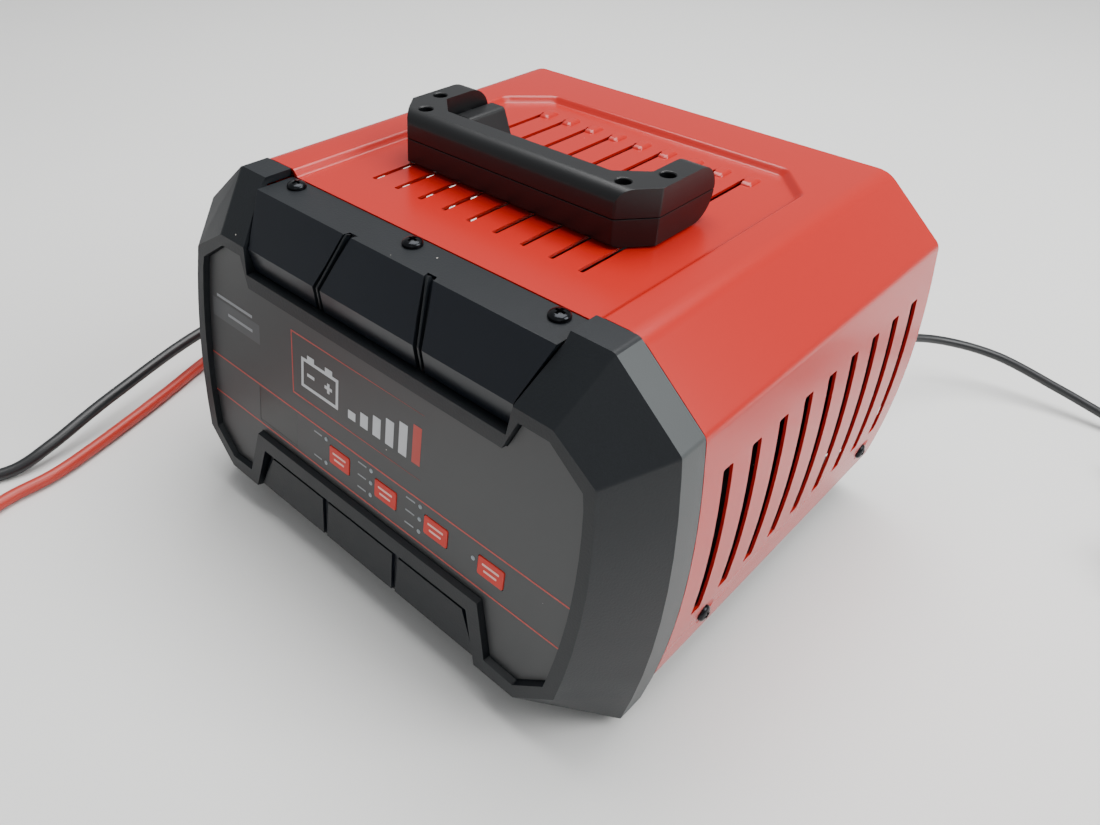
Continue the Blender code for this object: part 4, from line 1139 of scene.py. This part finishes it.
@dataclass
class FoldingHandle:
    """The folding carry handle in two halves, with its brackets and axles."""

    half: float = 66.5
    leg: float = 11.5
    front: float = 56.8
    back: float = 70.0
    top: float = 21.5
    under: float = -2.2
    axis_y: float = 96.2
    axis_z: float = 9.65
    screws: tuple[tuple[float, float], ...] = ((52.4, 65.3), (60.6, 82.0))

    def plan(self) -> Flat:
        """The handle seen from above: a bar with cut corners and two legs.

        Returns:
            The outline.
        """
        h, leg, front, back = self.half, self.leg, self.front, self.back
        end = self.axis_y + 16.0
        half = [(0.0, front), (h - 11.0, front), (h, front + 14.0), (h, end), (h - leg, end),
                (h - leg, back + 10.5), (h - leg - 11.5, back), (0.0, back)]
        half = rounded(half, [0.0, 1.6, 1.6, 0.0, 0.0, 1.4, 1.4, 0.0], 3, closed=False)
        return half + [(-x, y) for x, y in half[::-1][1:-1]]

    def side(self) -> Flat:
        """The handle seen from the side, round behind and softly round at the top front.

        Returns:
            The outline.
        """
        r = 11.85
        arc = [(self.axis_y + r * math.sin(math.radians(a)),
                self.axis_z + r * math.cos(math.radians(a)))
               for a in range(0, 181, 9)]
        low = rounded([arc[-1], (self.front, self.under), (self.front, self.axis_z)],
                      [0.0, 2.5, 0.0],
                      4, closed=False)
        high = rounded([(self.front, self.axis_z), (self.front, self.top), arc[0]], [0.0, 6.5, 0.0],
                       8, closed=False)
        return arc + low[1:] + high[1:-1]

    def clamshell(self, upper: bool) -> None:
        """One moulded half.

        Args:
            upper: whether it is the top half.
        """
        mid, lift = self.axis_z, GAP / 2
        z0, z1 = (mid + lift, 40.0) if upper else (-20.0, mid - lift)
        half = Solid("handle_top_half" if upper else "handle_bottom_half",
                     along_z(self.plan(), z0, z1))
        half.keep(along_x(self.side(), -80.0, 80.0))
        half.cut(*[along_x(disc(self.axis_y, mid, 3.05, 24), s * 52.0, s * 65.6) for s in (-1, 1)])
        holes = []
        for s in (-1, 1):
            for x, y in self.screws:
                if upper:
                    steps = ((1.9, 0.0), (1.9, self.top - 7.0), (3.1, self.top - 7.0),
                             (3.1, self.top - 0.5), (3.8, self.top + 0.3), (3.8, 30.0))
                    holes.append([[(a, b, z) for a, b in disc(s * x, y, r, 28)] for r, z in steps])
                else:
                    holes.append(along_z(disc(s * x, y, 1.8, 16), 1.0, 30.0))
        half.cut(*holes)
        half.soften(0.45, 2, 40.0)
        node = "handle_upper" if upper else "handle_lower"
        half.finish(HANDLE_ABS, Body.HANDLE, (node,), 38.0)

    def bracket(self, side: str) -> None:
        """The block beside a leg that carries its axle.

        Args:
            side: left or right.
        """
        s = 1 if side == "right" else -1
        low, top = -2.7, 13.6
        ring = rounded([(s * 38.6, low), (s * 54.0, low), (s * 54.0, top), (s * 45.2, top)],
                       [0.0, 0.0, 1.2, 2.2], 4)
        block = Solid("handle_bracket_" + side, along_y(ring, 85.6, 108.2))
        block.cut(along_x(disc(self.axis_y, self.axis_z, 3.05, 24), s * 46.0, s * 80.0))
        block.soften(0.8, 3, 40.0)
        block.finish(HANDLE_ABS, stands_for=("pivot_bracket_" + side,))
        pin = Solid("handle_pin_" + side, along_x(disc(self.axis_y, self.axis_z, 3.0, 24), s * 46.1,
                                                  s * 65.4))
        pin.finish(ZINC_STEEL, stands_for=("handle_axle_" + side,))

    def build(self) -> None:
        """Both halves and both brackets."""
        self.clamshell(True)
        self.clamshell(False)
        self.bracket("left")
        self.bracket("right")


# ---------------------------------------------------------------- screws and feet


@dataclass
class Fasteners:
    """Pan-head cross screws and the rubber feet, each repeated at its places."""

    cover: SheetCover
    trim: UpperTrim
    handle: FoldingHandle
    foot_x: float = 92.0
    foot_y: tuple[float, float] = (22.0, 176.0)

    @staticmethod
    def pan_head(name: str, head: float, shank: float, length: float) -> bpy.types.Object:
        """A pan head with a tapered cross recess, its seat at the origin.

        Args:
            name: the object's name.
            head: the head's radius.
            shank: the shank's radius.
            length: the shank's length.

        Returns:
            An object that a repeater can use up.
        """
        profile = [(0.0, -length), (shank, -length + 0.6), (shank, 0.0), (head * 0.98, 0.0),
                   (head, 0.12), (head, head * 0.2), (head * 0.95, head * 0.34),
                   (head * 0.82, head * 0.46), (head * 0.6, head * 0.55), (head * 0.3, head * 0.6),
                   (0.0, head * 0.61)]
        obj = turned_shape(name, profile, 28)
        solid = Solid.__new__(Solid)
        solid.obj = obj
        for turn in (0.0, math.pi / 2):
            bar = bmesh.new()
            made = bmesh.ops.create_cube(bar, size=1.0)["verts"]
            for v in made:
                up = v.co.z > 0
                reach = head * (0.62 if up else 0.3)
                wide = head * (0.17 if up else 0.1)
                spot = Vector((v.co.x * 2 * reach, v.co.y * 2 * wide,
                               head * (0.75 if up else 0.12))) * 0.001
                v.co = Matrix.Rotation(turn, 3, "Z") @ spot
            mesh = bpy.data.meshes.new("recess")
            bar.to_mesh(mesh)
            bar.free()
            cutter = Solid.__new__(Solid)
            cutter.obj = bpy.data.objects.new("recess", mesh)
            bpy.context.scene.collection.objects.link(cutter.obj)
            solid.combine(cutter, "DIFFERENCE")
        return solid.obj

    def build(self) -> None:
        """Set every screw and foot."""
        up = Vector((0.0, 0.0, 1.0))
        spots = [(place(x, self.trim.screw_y, -3.38), up) for x in self.trim.screw_x]
        Repeater("trim_screws", self.pan_head("trim_screw", 4.2, 1.6, 7.0), BLACK_OXIDE,
                 spots).build(Body.HOUSING, ("trim_screw_1", "trim_screw_2", "trim_screw_3"), 30.0)
        at = side_half(-self.cover.screw_drop) - 0.45
        spots = [(place(s * at, y, -self.cover.screw_drop), Vector((float(s), 0.0, 0.0)))
                 for s in (-1, 1) for y in self.cover.screw_y]
        Repeater("side_screws", self.pan_head("side_screw", 3.7, 1.3, 6.0), BLACK_OXIDE,
                 spots).build(Body.HOUSING, tuple("side_screw_%d" % i for i in range(1, 5)), 30.0)
        deep = self.handle.top - 6.98
        spots = [(place(s * x, y, deep), up) for s in (-1, 1) for x, y in self.handle.screws]
        Repeater("handle_screws", self.pan_head("handle_screw", 2.8, 1.5, 11.0), BLACK_OXIDE,
                 spots).build(Body.HANDLE, tuple("handle_screw_%d" % i for i in range(1, 5)), 30.0)
        foot = turned_shape("foot", [(0.0, 0.0), (4.6, 0.0), (5.0, 0.35), (6.6, 0.35), (7.3, 0.5),
                                     (7.8, 1.2), (8.0, 2.4), (8.0, 3.9), (7.6, 4.4), (1.9, 4.4),
                                     (1.9, 8.4), (0.0, 8.4)], 36)
        spots = [(place(s * self.foot_x, y, -TOP_Z), up) for s in (-1, 1) for y in self.foot_y]
        Repeater("rubber_feet", foot, RUBBER, spots).build(
            Body.HOUSING, tuple("foot_%d" % i for i in range(1, 5)), 30.0)


# ---------------------------------------------------------------- leads and cord


@dataclass
class Winding:
    """A neat round coil: an inward spiral, then an outward one on top of it, wound clockwise."""

    x: float
    y: float
    outer: float
    pitch: float
    low: float
    start: float
    sweep: float

    def points(self) -> list[Vector]:
        """The centreline of the turns, in drawing millimetres.

        Returns:
            The points.
        """
        out = []
        count = int(self.sweep / 8.0)
        for i in range(count + 1):
            t = self.sweep * i / count
            part = t / self.sweep
            inward = min(t, self.sweep - t)
            radius = self.outer - self.pitch * inward / 360.0
            rise = min(max((part - 0.47) / 0.06, 0.0), 1.0)
            rise = rise * rise * (3 - 2 * rise)
            a = math.radians(self.start - t)
            out.append(Vector((self.x + radius * math.cos(a), self.y + radius * math.sin(a),
                               self.low + self.pitch * rise)))
        return out


@dataclass
class Lead:
    """A flexible lead: its visible route, its coil, and the tail that enters what is on its end."""

    name: str
    radius: float
    route: list[tuple[float, float, float]]
    winding: Winding
    tail: list[tuple[float, float, float]]
    finish: Finish
    nodes: tuple[str, ...]
    far_end: str
    stiffness: str = "medium"

    @staticmethod
    def smooth(points: list[Vector], step: float) -> list[Vector]:
        """Even samples of a smooth curve through points.

        Args:
            points: the given points.
            step: the spacing of the samples in millimetres.

        Returns:
            The samples.
        """
        dense = []
        for i in range(len(points) - 1):
            p0, p1 = points[max(i - 1, 0)], points[i]
            p2, p3 = points[i + 1], points[min(i + 2, len(points) - 1)]
            for k in range(16):
                t = k / 16
                dense.append(0.5 * (2 * p1 + (p2 - p0) * t
                                    + (2 * p0 - 5 * p1 + 4 * p2 - p3) * t * t
                                    + (3 * p1 - p0 - 3 * p2 + p3) * t ** 3))
        dense.append(points[-1])
        out, left = [dense[0]], step
        for a, b in zip(dense, dense[1:]):
            span = (b - a).length
            while span >= left and span > 0:
                a = a.lerp(b, left / span)
                span = (b - a).length
                out.append(a)
                left = step
            left -= span
        if (out[-1] - dense[-1]).length < step * 0.5:
            out.pop()
        out.append(dense[-1])
        return out

    def centreline(self) -> list[Vector]:
        """The whole line from the gland to the far end, in metres.

        Returns:
            Even samples of the line.
        """
        coil = self.winding.points()
        joined = [Vector(p) for p in self.route] + coil[::3] + [coil[-1]] + [Vector(p)
                                                                             for p in self.tail]
        keep = [joined[0]]
        for p in joined[1:]:
            if (p - keep[-1]).length > 2.0:
                keep.append(p)
        return [place(*p) for p in self.smooth(keep, self.radius * 1.0)]

    def build(self, with_pieces: list[bpy.types.Object]) -> bpy.types.Object:
        """Args:
            with_pieces: what is on it; not used.

        Returns:
            The lead.
        """
        line = self.centreline()
        curve = bpy.data.curves.new(self.name, "CURVE")
        curve.dimensions = "3D"
        curve.bevel_depth = self.radius * 0.001
        curve.bevel_resolution = 5
        curve.use_fill_caps = True
        spline = curve.splines.new("POLY")
        spline.points.add(len(line) - 1)
        for point, co in zip(spline.points, line):
            point.co = (*co, 1.0)
        spline.use_smooth = True
        obj = bpy.data.objects.new(self.name, curve)
        bpy.context.scene.collection.objects.link(obj)
        curve.materials.append(self.finish.material())
        settle(obj, Body.HOUSING, self.nodes)
        return obj


@dataclass
class Clamp:
    """A battery clamp lying on its side: sprung arms with dipped grips and toothed jaws."""

    tone: str
    x: float
    y: float
    angle: float
    grip: Finish
    body: Body
    half: float = 6.5

    def turned(self, points: list[tuple[float, float, float]]) -> Ring:
        """Points along, across and above the clamp's pivot, moved to their place.

        Args:
            points: the points.

        Returns:
            The points in the drawing.
        """
        a = math.radians(self.angle)
        c, s = math.cos(a), math.sin(a)
        return [(self.x + u * c - v * s, self.y + u * s + v * c, -TOP_Z + GAP + 17.0 + w)
                for u, v, w in points]

    def across(self, outline: Flat, v0: float, v1: float) -> list[Ring]:
        """A side outline drawn across the clamp's width."""
        return [self.turned([(u, v, w) for u, w in outline]) for v in (v0, v1)]

    def arm(self, sign: int) -> bpy.types.Object:
        """One arm with its ears.

        Args:
            sign: 1 for the upper arm, -1 for the lower.

        Returns:
            The arm.
        """
        def up(points: Flat) -> Flat:
            """Mirror an outline to this arm's side."""
            return [(u, sign * w) for u, w in points]
        jaw = up([(-12.0, 6.6), (-8.0, 5.4), (6.0, 4.6), (10.0, 2.2), (24.0, 1.6), (32.0, 0.3),
                  (40.0, 0.3), (40.0, 3.4), (26.0, 5.0), (8.0, 8.0), (-8.0, 9.4), (-12.0, 10.3)])
        name = "clamp_%s_%s" % (self.tone, "jaw_top" if sign > 0 else "jaw_base")
        piece = Solid(name, self.across(jaw, -self.half + 0.8, self.half - 0.8))
        ears = up([(-4.4, 6.5), (4.4, 6.5), (3.4, -3.2), (-3.4, -3.2)])
        edge = (4.7, 5.6) if sign > 0 else (3.4, 4.5)
        piece.join(self.across(ears, edge[0], edge[1]), self.across(ears, -edge[1], -edge[0]))
        piece.cut(self.across(disc(0.0, 0.0, 1.6, 20), -9.0, 9.0))
        notch = [self.across(up([(u, 1.6), (u + 1.5, 1.6), (u + 0.75, 2.9), (u + 0.74, 2.9)]),
                             -9.0, 9.0) for u in spread(12.0, 24.0, 6)]
        for teeth in notch:
            piece.cut([[(x, y, z - sign * 0.9) for x, y, z in ring] for ring in teeth])
        piece.soften(0.25, 2, 35.0)
        body = self.body if sign > 0 else Body.HOUSING
        node = "clamp_%s_%s" % (self.tone, "upper" if sign > 0 else "lower")
        piece.finish(COPPER_JAW, body, (node,))
        self.sleeve(sign, body)
        return piece.obj

    def sleeve(self, sign: int, body: Body) -> None:
        """The dipped grip over the handle end of an arm.

        Args:
            sign: 1 for the upper arm, -1 for the lower.
            body: the body it moves with.
        """
        rings = []
        boot = 2.3 if sign < 0 else 0.0
        for u, w0, w1, v in ((-39.2, 13.0, 15.8, 4.6), (-38.6, 12.1, 16.7, 6.0),
                             (-36.0, 11.4, 17.0, 6.6),
                             (-24.0, 7.9, 13.9, 6.6), (-12.0, 5.8, 10.9, 6.6), (-10.6, 6.0, 10.3,
                                                                                6.2)):
            w0, w1 = sign * (w0 - (boot if u < -30.0 else 0.0)), sign * w1
            rings.append(self.turned([(u, -v, w0), (u, v, w0), (u, v, w1), (u, -v, w1)]))
        name = "clamp_%s_%s" % (self.tone, "grip_top" if sign > 0 else "grip_base")
        Solid(name, rings).soften(1.3, 4, 40.0).finish(self.grip, body)

    def spring(self) -> None:
        """The pin with its washers, and the torsion spring on it."""
        pin = Solid("clamp_%s_rivet" % self.tone, self.across(disc(0.0, 0.0, 1.57, 24), -7.2, 7.2))
        pin.soften(0.3, 2, 40.0)
        pin.finish(ZINC_STEEL, stands_for=("clamp_%s_pin" % self.tone,))
        turns, steps, wire = 4, 18, 0.5
        line = []
        for i in range(turns * steps + 1):
            a = math.tau * i / steps
            line.append(Vector(self.turned([(2.4 * math.cos(a), -2.6 + 5.2 * i / (turns * steps),
                                             2.4 * math.sin(a))])[0]))
        rings = []
        for i, p in enumerate(line):
            d = (line[min(i + 1, len(line) - 1)] - line[max(i - 1, 0)]).normalized()
            side = d.cross(Vector((0.0, 0.0, 1.0))).normalized()
            other = d.cross(side)
            rings.append([tuple(p + side * x + other * y) for x, y in disc(0.0, 0.0, wire, 8)])
        Solid("clamp_%s_spring" % self.tone, rings).finish(ZINC_STEEL)

    def build(self) -> list[bpy.types.Object]:
        """Both arms and the spring, and the clamp's pieces that are passed to the lead.

        Returns:
            The pieces on the lead.
        """
        base, top = self.arm(-1), self.arm(1)
        self.spring()
        names = ("grip_top", "grip_base", "rivet", "spring")
        return [base, top] + [bpy.data.objects["clamp_%s_%s" % (self.tone, n)] for n in names]


@dataclass
class Tie:
    """A soft strap round a coil's turns."""

    name: str
    winding: Winding
    angle: float
    height: float
    inner: float
    finish: Finish = RUBBER

    def build(self) -> bpy.types.Object:
        """Wrap the strap round the turns.

        Returns:
            The strap.
        """
        w, a = self.winding, math.radians(self.angle)
        r0, r1 = self.inner, w.outer + w.pitch / 2 + 0.3
        base = w.low - w.pitch / 2
        loop = rounded([(r0, base), (r1, base), (r1, base + self.height), (r0, base + self.height)],
                       3.0, 5)
        outer = rounded([(r0 - 0.9, base - 0.02), (r1 + 0.9, base - 0.02),
                         (r1 + 0.9, base + self.height + 0.9),
                         (r0 - 0.9, base + self.height + 0.9)], 3.6, 5)
        out = Vector((math.cos(a), math.sin(a), 0.0))
        side = Vector((-out.y, out.x, 0.0))
        shape = bmesh.new()
        rows = []
        for (ir, iz), (orr, oz) in zip(loop, outer):
            row = []
            for r, z, t in ((ir, iz, -4.0), (orr, oz, -4.0), (orr, oz, 4.0), (ir, iz, 4.0)):
                p = Vector((w.x, w.y, 0.0)) + out * r + side * t
                row.append(shape.verts.new(place(p.x, p.y, z)))
            rows.append(row)
        for i, row in enumerate(rows):
            after = rows[(i + 1) % len(rows)]
            for k in range(4):
                m = (k + 1) % 4
                shape.faces.new((row[k], row[m], after[m], after[k]))
        bmesh.ops.recalc_face_normals(shape, faces=shape.faces[:])
        mesh = bpy.data.meshes.new(self.name)
        shape.to_mesh(mesh)
        shape.free()
        solid = Solid.__new__(Solid)
        solid.obj = bpy.data.objects.new(self.name, mesh)
        bpy.context.scene.collection.objects.link(solid.obj)
        return solid.finish(self.finish)


@dataclass
class Gland:
    """A tapered, ribbed strain relief where a lead leaves the back."""

    name: str
    x: float
    z: float
    hole: float
    lead: float

    def build(self) -> None:
        """Turn the relief about the lead."""
        h, r = self.hole, self.lead
        profile = [(0.0, -7.5), (h + 1.6, -7.5), (h + 1.6, -3.8), (h - 0.3, -3.6), (h - 0.3, -1.4),
                   (h + 2.2, -1.4), (h + 2.2, 2.0), (h + 1.4, 2.8)]
        for i in range(4):
            t = 3.2 + i * 2.3
            wide = r + 2.6 - i * 0.42
            profile += [(wide, t), (wide, t + 1.3), (wide - 0.8, t + 1.5), (wide - 0.8, t + 2.1)]
        profile += [(r + 0.35, 12.4), (r + 0.05, 12.6), (0.0, 12.6)]
        shape = turned_shape(self.name + "_shape", profile, 36)
        at = place(self.x, 198.0, self.z)
        Repeater(self.name + "_relief", shape, RUBBER, [(at, Vector((0.0, 1.0, 0.0)))]).build(
            Body.HOUSING, (self.name,), 32.0)


@dataclass
class MainsPlug:
    """A moulded two-pin plug with a tapered back and finger grips."""

    x: float = 262.0
    y: float = 267.6

    def section(self, u: float, wide: float, tall: float, steps: int = 4) -> Ring:
        """A rounded section across the plug.

        Args:
            u: the distance from the plug's back.
            wide: half its width.
            tall: half its height.
            steps: spans in each corner.

        Returns:
            The ring.
        """
        z = -TOP_Z + GAP + 13.0
        loop = rounded(rect(-wide, wide, -tall, tall), min(wide, tall) * 0.62, steps)
        return [(self.x + a, self.y - u, z + b) for a, b in loop]

    def build(self) -> list[bpy.types.Object]:
        """The body with its boot, and the two pins.

        Returns:
            The body and the pins.
        """
        rings = [self.section(u, w, t) for u, w, t in
                 ((-2.0, 3.2, 3.2), (0.0, 4.4, 4.4), (2.0, 5.0, 5.0), (2.5, 4.4, 4.4),
                  (4.0, 4.6, 4.6),
                  (4.5, 6.0, 5.8), (8.0, 9.5, 8.4), (14.0, 13.0, 10.6), (20.0, 15.4, 12.0),
                  (26.0, 16.8, 12.8), (33.0, 16.9, 12.9), (34.0, 16.2, 12.2))]
        body = Solid("mains_plug_body", rings)
        for side in (-1, 1):
            cuts = [[(self.x + side * 19.0 + a, self.y - u, -154.0 + b) for a, b in
                     rounded(rect(-4.2, 4.2, -9.0, 9.0), 2.0, 3)] for u in (17.0, 18.4)]
            body.cut(cuts)
            cuts = [[(x, y - 4.4, z) for x, y, z in ring] for ring in cuts]
            body.cut(cuts)
        body.soften(0.4, 2, 45.0).finish(RUBBER, stands_for=("mains_plug",), sharp=50.0)
        z = -TOP_Z + GAP + 13.0
        pins = []
        for side in (-9.5, 9.5):
            pins.append([[(self.x + side + a, self.y - u, z + b) for a, b in disc(0.0, 0.0, r, 24)]
                         for u, r in ((33.0, 2.4), (50.6, 2.4), (51.6, 2.0), (52.0, 1.2))])
        pair = Solid("mains_plug_pins", *pins)
        pair.finish(ZINC_STEEL)
        return [body.obj, pair.obj]


@dataclass
class Cabling:
    """The two battery leads and the mains cord, with what holds them and what is on them."""

    lead: float = 3.25
    mains: float = 2.5

    def s_bend(self, winding: Winding, heading: float,
               distance: float) -> list[tuple[float, float, float]]:
        """Two equal arcs from the end of a coil to a line through its middle.

        Args:
            winding: the coil that the tail leaves.
            heading: the direction of what it goes to, in degrees.
            distance: how far along that direction the tail ends.

        Returns:
            Points in drawing millimetres.
        """
        aside = winding.outer
        phi = 2 * math.atan2(aside, distance)
        radius = distance / (2 * math.sin(phi))
        a = math.radians(heading)
        ahead, left = Vector((math.cos(a), math.sin(a))), Vector((-math.sin(a), math.cos(a)))
        out = []
        for k in range(1, 13):
            t = phi * (k / 6 if k <= 6 else (12 - k) / 6)
            if k <= 6:
                u, v = radius * math.sin(t), aside - radius * (1 - math.cos(t))
            else:
                u, v = distance - radius * math.sin(t), radius * (1 - math.cos(t))
            p = Vector((winding.x, winding.y)) + ahead * u + left * v
            out.append((p.x, p.y, 0.0))
        return out

    def battery_lead(self, tone: str) -> None:
        """One battery lead from its gland to its clamp.

        Args:
            tone: black or red.
        """
        ground = -TOP_Z + 0.5 + self.lead
        if tone == "black":
            route = [(-88.0, 210.4, -128.0), (-88.0, 222.0, -129.0), (-96.0, 240.0, -134.0),
                     (-122.0, 252.0, -138.0), (-156.0, 238.0, -138.0), (-180.0, 200.0, -137.0),
                     (-190.0, 150.0, -136.0), (-194.0, 90.0, -136.0), (-198.0, 20.0, -141.0),
                     (-190.0, -44.0, -150.0), (-184.0, -84.0, -158.0), (-185.0, -106.0, ground),
                     (-194.0, -126.0, ground), (-208.0, -146.0, ground)]
            winding = Winding(-262.0, -150.0, 46.0, 6.6, ground, -20.0, 2150.0)
            clamp = Clamp("black", -278.22, -241.98, -100.0, GRIP_BLACK, Body.BLACK_JAW)
            finish = CABLE_BLACK
        else:
            route = [(-66.0, 210.5, -128.0), (-66.0, 222.0, -129.2), (-74.0, 246.0, -144.0),
                     (-104.0, 270.0, -158.0), (-148.0, 272.0, ground), (-188.0, 240.0, ground),
                     (-212.0, 190.0, ground), (-219.0, 120.0, ground), (-212.0, 60.0, ground),
                     (-199.0, 16.0, ground), (-187.0, -19.0, ground), (-174.0, -62.0, ground),
                     (-167.0, -92.0, ground), (-166.0, -119.0, ground), (-157.0, -148.0, ground),
                     (-143.0, -176.0, ground), (-134.5, -196.0, ground)]
            winding = Winding(-178.0, -213.0, 46.0, 6.6, ground, 0.0, 2110.0)
            clamp = Clamp("red", -106.45, -273.04, -40.0, GRIP_RED, Body.RED_JAW)
            finish = CABLE_RED
        tail = self.lead_tail(winding, clamp)
        pieces = clamp.build()
        tie = Tie("lead_%s_strap" % tone, winding, clamp.angle + 150.0, 13.6, 19.0).build()
        lead = Lead("lead_%s" % tone, self.lead, route, winding, tail, finish,
                    ("lead_%s_run" % tone, "lead_%s_coil" % tone), "connector")
        lead.build(pieces + [tie])

    def lead_tail(self, winding: Winding, clamp: Clamp) -> list[tuple[float, float, float]]:
        """The tail that leaves the coil and enters the clamp's lower grip.

        Args:
            winding: the coil that it leaves.
            clamp: the clamp that it goes to.

        Returns:
            Its points.
        """
        bend = self.s_bend(winding, clamp.angle, 52.0)
        start = winding.low + winding.pitch
        out = []
        for i, (x, y, _) in enumerate(bend):
            t = (i + 1) / len(bend)
            out.append((x, y, start + (winding.low - start) * t * t * (3 - 2 * t)))
        a = math.radians(clamp.angle)
        for u, z in ((-36.0, -163.1), (-31.0, -162.6), (-26.0, -161.5)):
            out.append((clamp.x + u * math.cos(a), clamp.y + u * math.sin(a), z))
        return out

    def mains_cord(self) -> None:
        """The mains cord from its gland to its plug."""
        low = -TOP_Z + 0.5 + self.mains
        route = [(88.0, 210.4, -125.0), (89.0, 230.0, -125.0), (93.0, 262.0, -127.0),
                 (101.0, 292.0, -131.0), (118.0, 318.0, -137.0), (144.0, 336.0, -144.0),
                 (176.0, 343.0, -153.0), (203.0, 344.0, -159.0), (226.0, 343.0, low),
                 (244.0, 342.0, low)]
        winding = Winding(262.0, 306.0, 35.4, 5.1, low, 90.0, 2250.0)
        bend = self.s_bend(winding, -90.0, 38.0)
        start = low + winding.pitch
        goal = -TOP_Z + GAP + 13.0
        tail = []
        for i, (x, y, _) in enumerate(bend):
            t = (i + 1) / len(bend)
            tail.append((x, y, start + (goal - start) * t * t * (3 - 2 * t)))
        tail.append((262.0, 264.0, goal))
        pieces = MainsPlug().build()
        tie = Tie("mains_cord_strap", winding, 180.0, 11.0, 15.2).build()
        lead = Lead("mains_cord", self.mains, route, winding, tail, CABLE_BLACK,
                    ("mains_run", "mains_coil"), "plug")
        lead.build(pieces + [tie])

    def build(self) -> None:
        """Every lead with its gland."""
        self.battery_lead("black")
        self.battery_lead("red")
        self.mains_cord()
        Gland("lead_gland_black", -88.0, -128.0, 5.2, self.lead).build()
        Gland("lead_gland_red", -66.0, -128.0, 5.2, self.lead).build()
        Gland("mains_gland", 88.0, -125.0, 4.4, self.mains).build()


# ---------------------------------------------------------------- inside and stage


def dress_inside() -> None:
    """Give the tray, the back, the boards and the fan their finishes."""
    for name, finish in (("base_tray", TRAY_ABS), ("rear_panel", TRAY_ABS), ("fan_frame", TRAY_ABS),
                         ("fan_rotor", TRAY_ABS), ("power_board", BOARD_GREEN),
                         ("control_board", BOARD_GREEN), ("transformer", CORE_VARNISH),
                         ("heat_sink", ALUMINIUM)):
        dress_node(name, finish)


@dataclass
class Studio:
    """Plain pale floor, soft light, and the camera."""

    eye: tuple[float, float, float] = (229.63, -201.95, 161.92)
    turn: tuple[float, float, float] = (56.1039, -0.4821, 44.7983)
    lens: float = 30.31
    shift: tuple[float, float] = (0.0855, -0.0658)

    def sheet(self, name: str, corners: list[tuple[float, float, float]], finish: Finish) -> None:
        """A flat staged sheet.

        Args:
            name: its name.
            corners: its corners in metres.
            finish: its surface.
        """
        mesh = bpy.data.meshes.new(name)
        mesh.from_pydata(corners, [], [(0, 1, 2, 3)])
        mesh.materials.append(finish.material())
        obj = bpy.data.objects.new(name, mesh)
        bpy.context.scene.collection.objects.link(obj)

    def light(self, name: str, at: tuple[float, float, float], size: float, power: float,
              colour: str = "#FFFFFF") -> None:
        """A square soft light aimed at the object.

        Args:
            name: its name.
            at: its place in metres.
            size: its side in metres.
            power: its power in watts.
            colour: its colour.
        """
        data = bpy.data.lights.new(name, "AREA")
        data.shape, data.size, data.energy = "SQUARE", size, power
        data.color = linear(colour)[:3]
        obj = bpy.data.objects.new(name, data)
        obj.location = at
        obj.rotation_euler = (Vector((0.0, 0.05, 0.08)) - Vector(at)).to_track_quat("-Z",
                                                                                    "Y").to_euler()
        bpy.context.scene.collection.objects.link(obj)

    def build(self) -> None:
        """Set the stage."""
        floor = Finish("matt_floor_paint", "#E6E6E4", "#E0E0DE", 0.8, grain_mm=3.0,
                       grain_depth_mm=0.02, patch_mm=300.0)
        far = 6.0
        self.sheet("floor", [(-far, -far, 0.0), (far, -far, 0.0), (far, far, 0.0),
                             (-far, far, 0.0)],
                   floor)
        self.light("window_light", (1.3, 0.55, 1.2), 0.9, 26.0)
        self.light("ceiling_light", (-0.1, 0.35, 1.6), 1.3, 40.0)
        self.light("room_fill", (1.1, -1.6, 1.0), 1.2, 2.0)
        world = bpy.data.worlds.new("room")
        bpy.context.scene.world = world
        world.use_nodes = True
        back = world.node_tree.nodes["Background"]
        back.inputs[0].default_value = linear("#F2F4F6")
        back.inputs[1].default_value = 0.5
        camera = bpy.data.cameras.new("camera")
        camera.lens, camera.sensor_width = self.lens, 36.0
        camera.shift_x, camera.shift_y = self.shift
        obj = bpy.data.objects.new("camera", camera)
        obj.location = place(*self.eye)
        obj.rotation_euler = [math.radians(v) for v in self.turn]
        bpy.context.scene.collection.objects.link(obj)
        bpy.context.scene.camera = obj


def main() -> None:
    """Build the stage, then every sub-assembly."""
    logging.basicConfig(level=logging.INFO, format="%(name)s: %(message)s")
    Studio().build()
    Cabling().build()
    cover, trim, handle = SheetCover(), UpperTrim(), FoldingHandle()
    cover.build()
    FrontMoulding().build()
    trim.build()
    LowerTrim().build()
    ControlPanel().build()
    handle.build()
    Fasteners(cover, trim, handle).build()
    dress_inside()


if __name__ == "__main__":
    main()
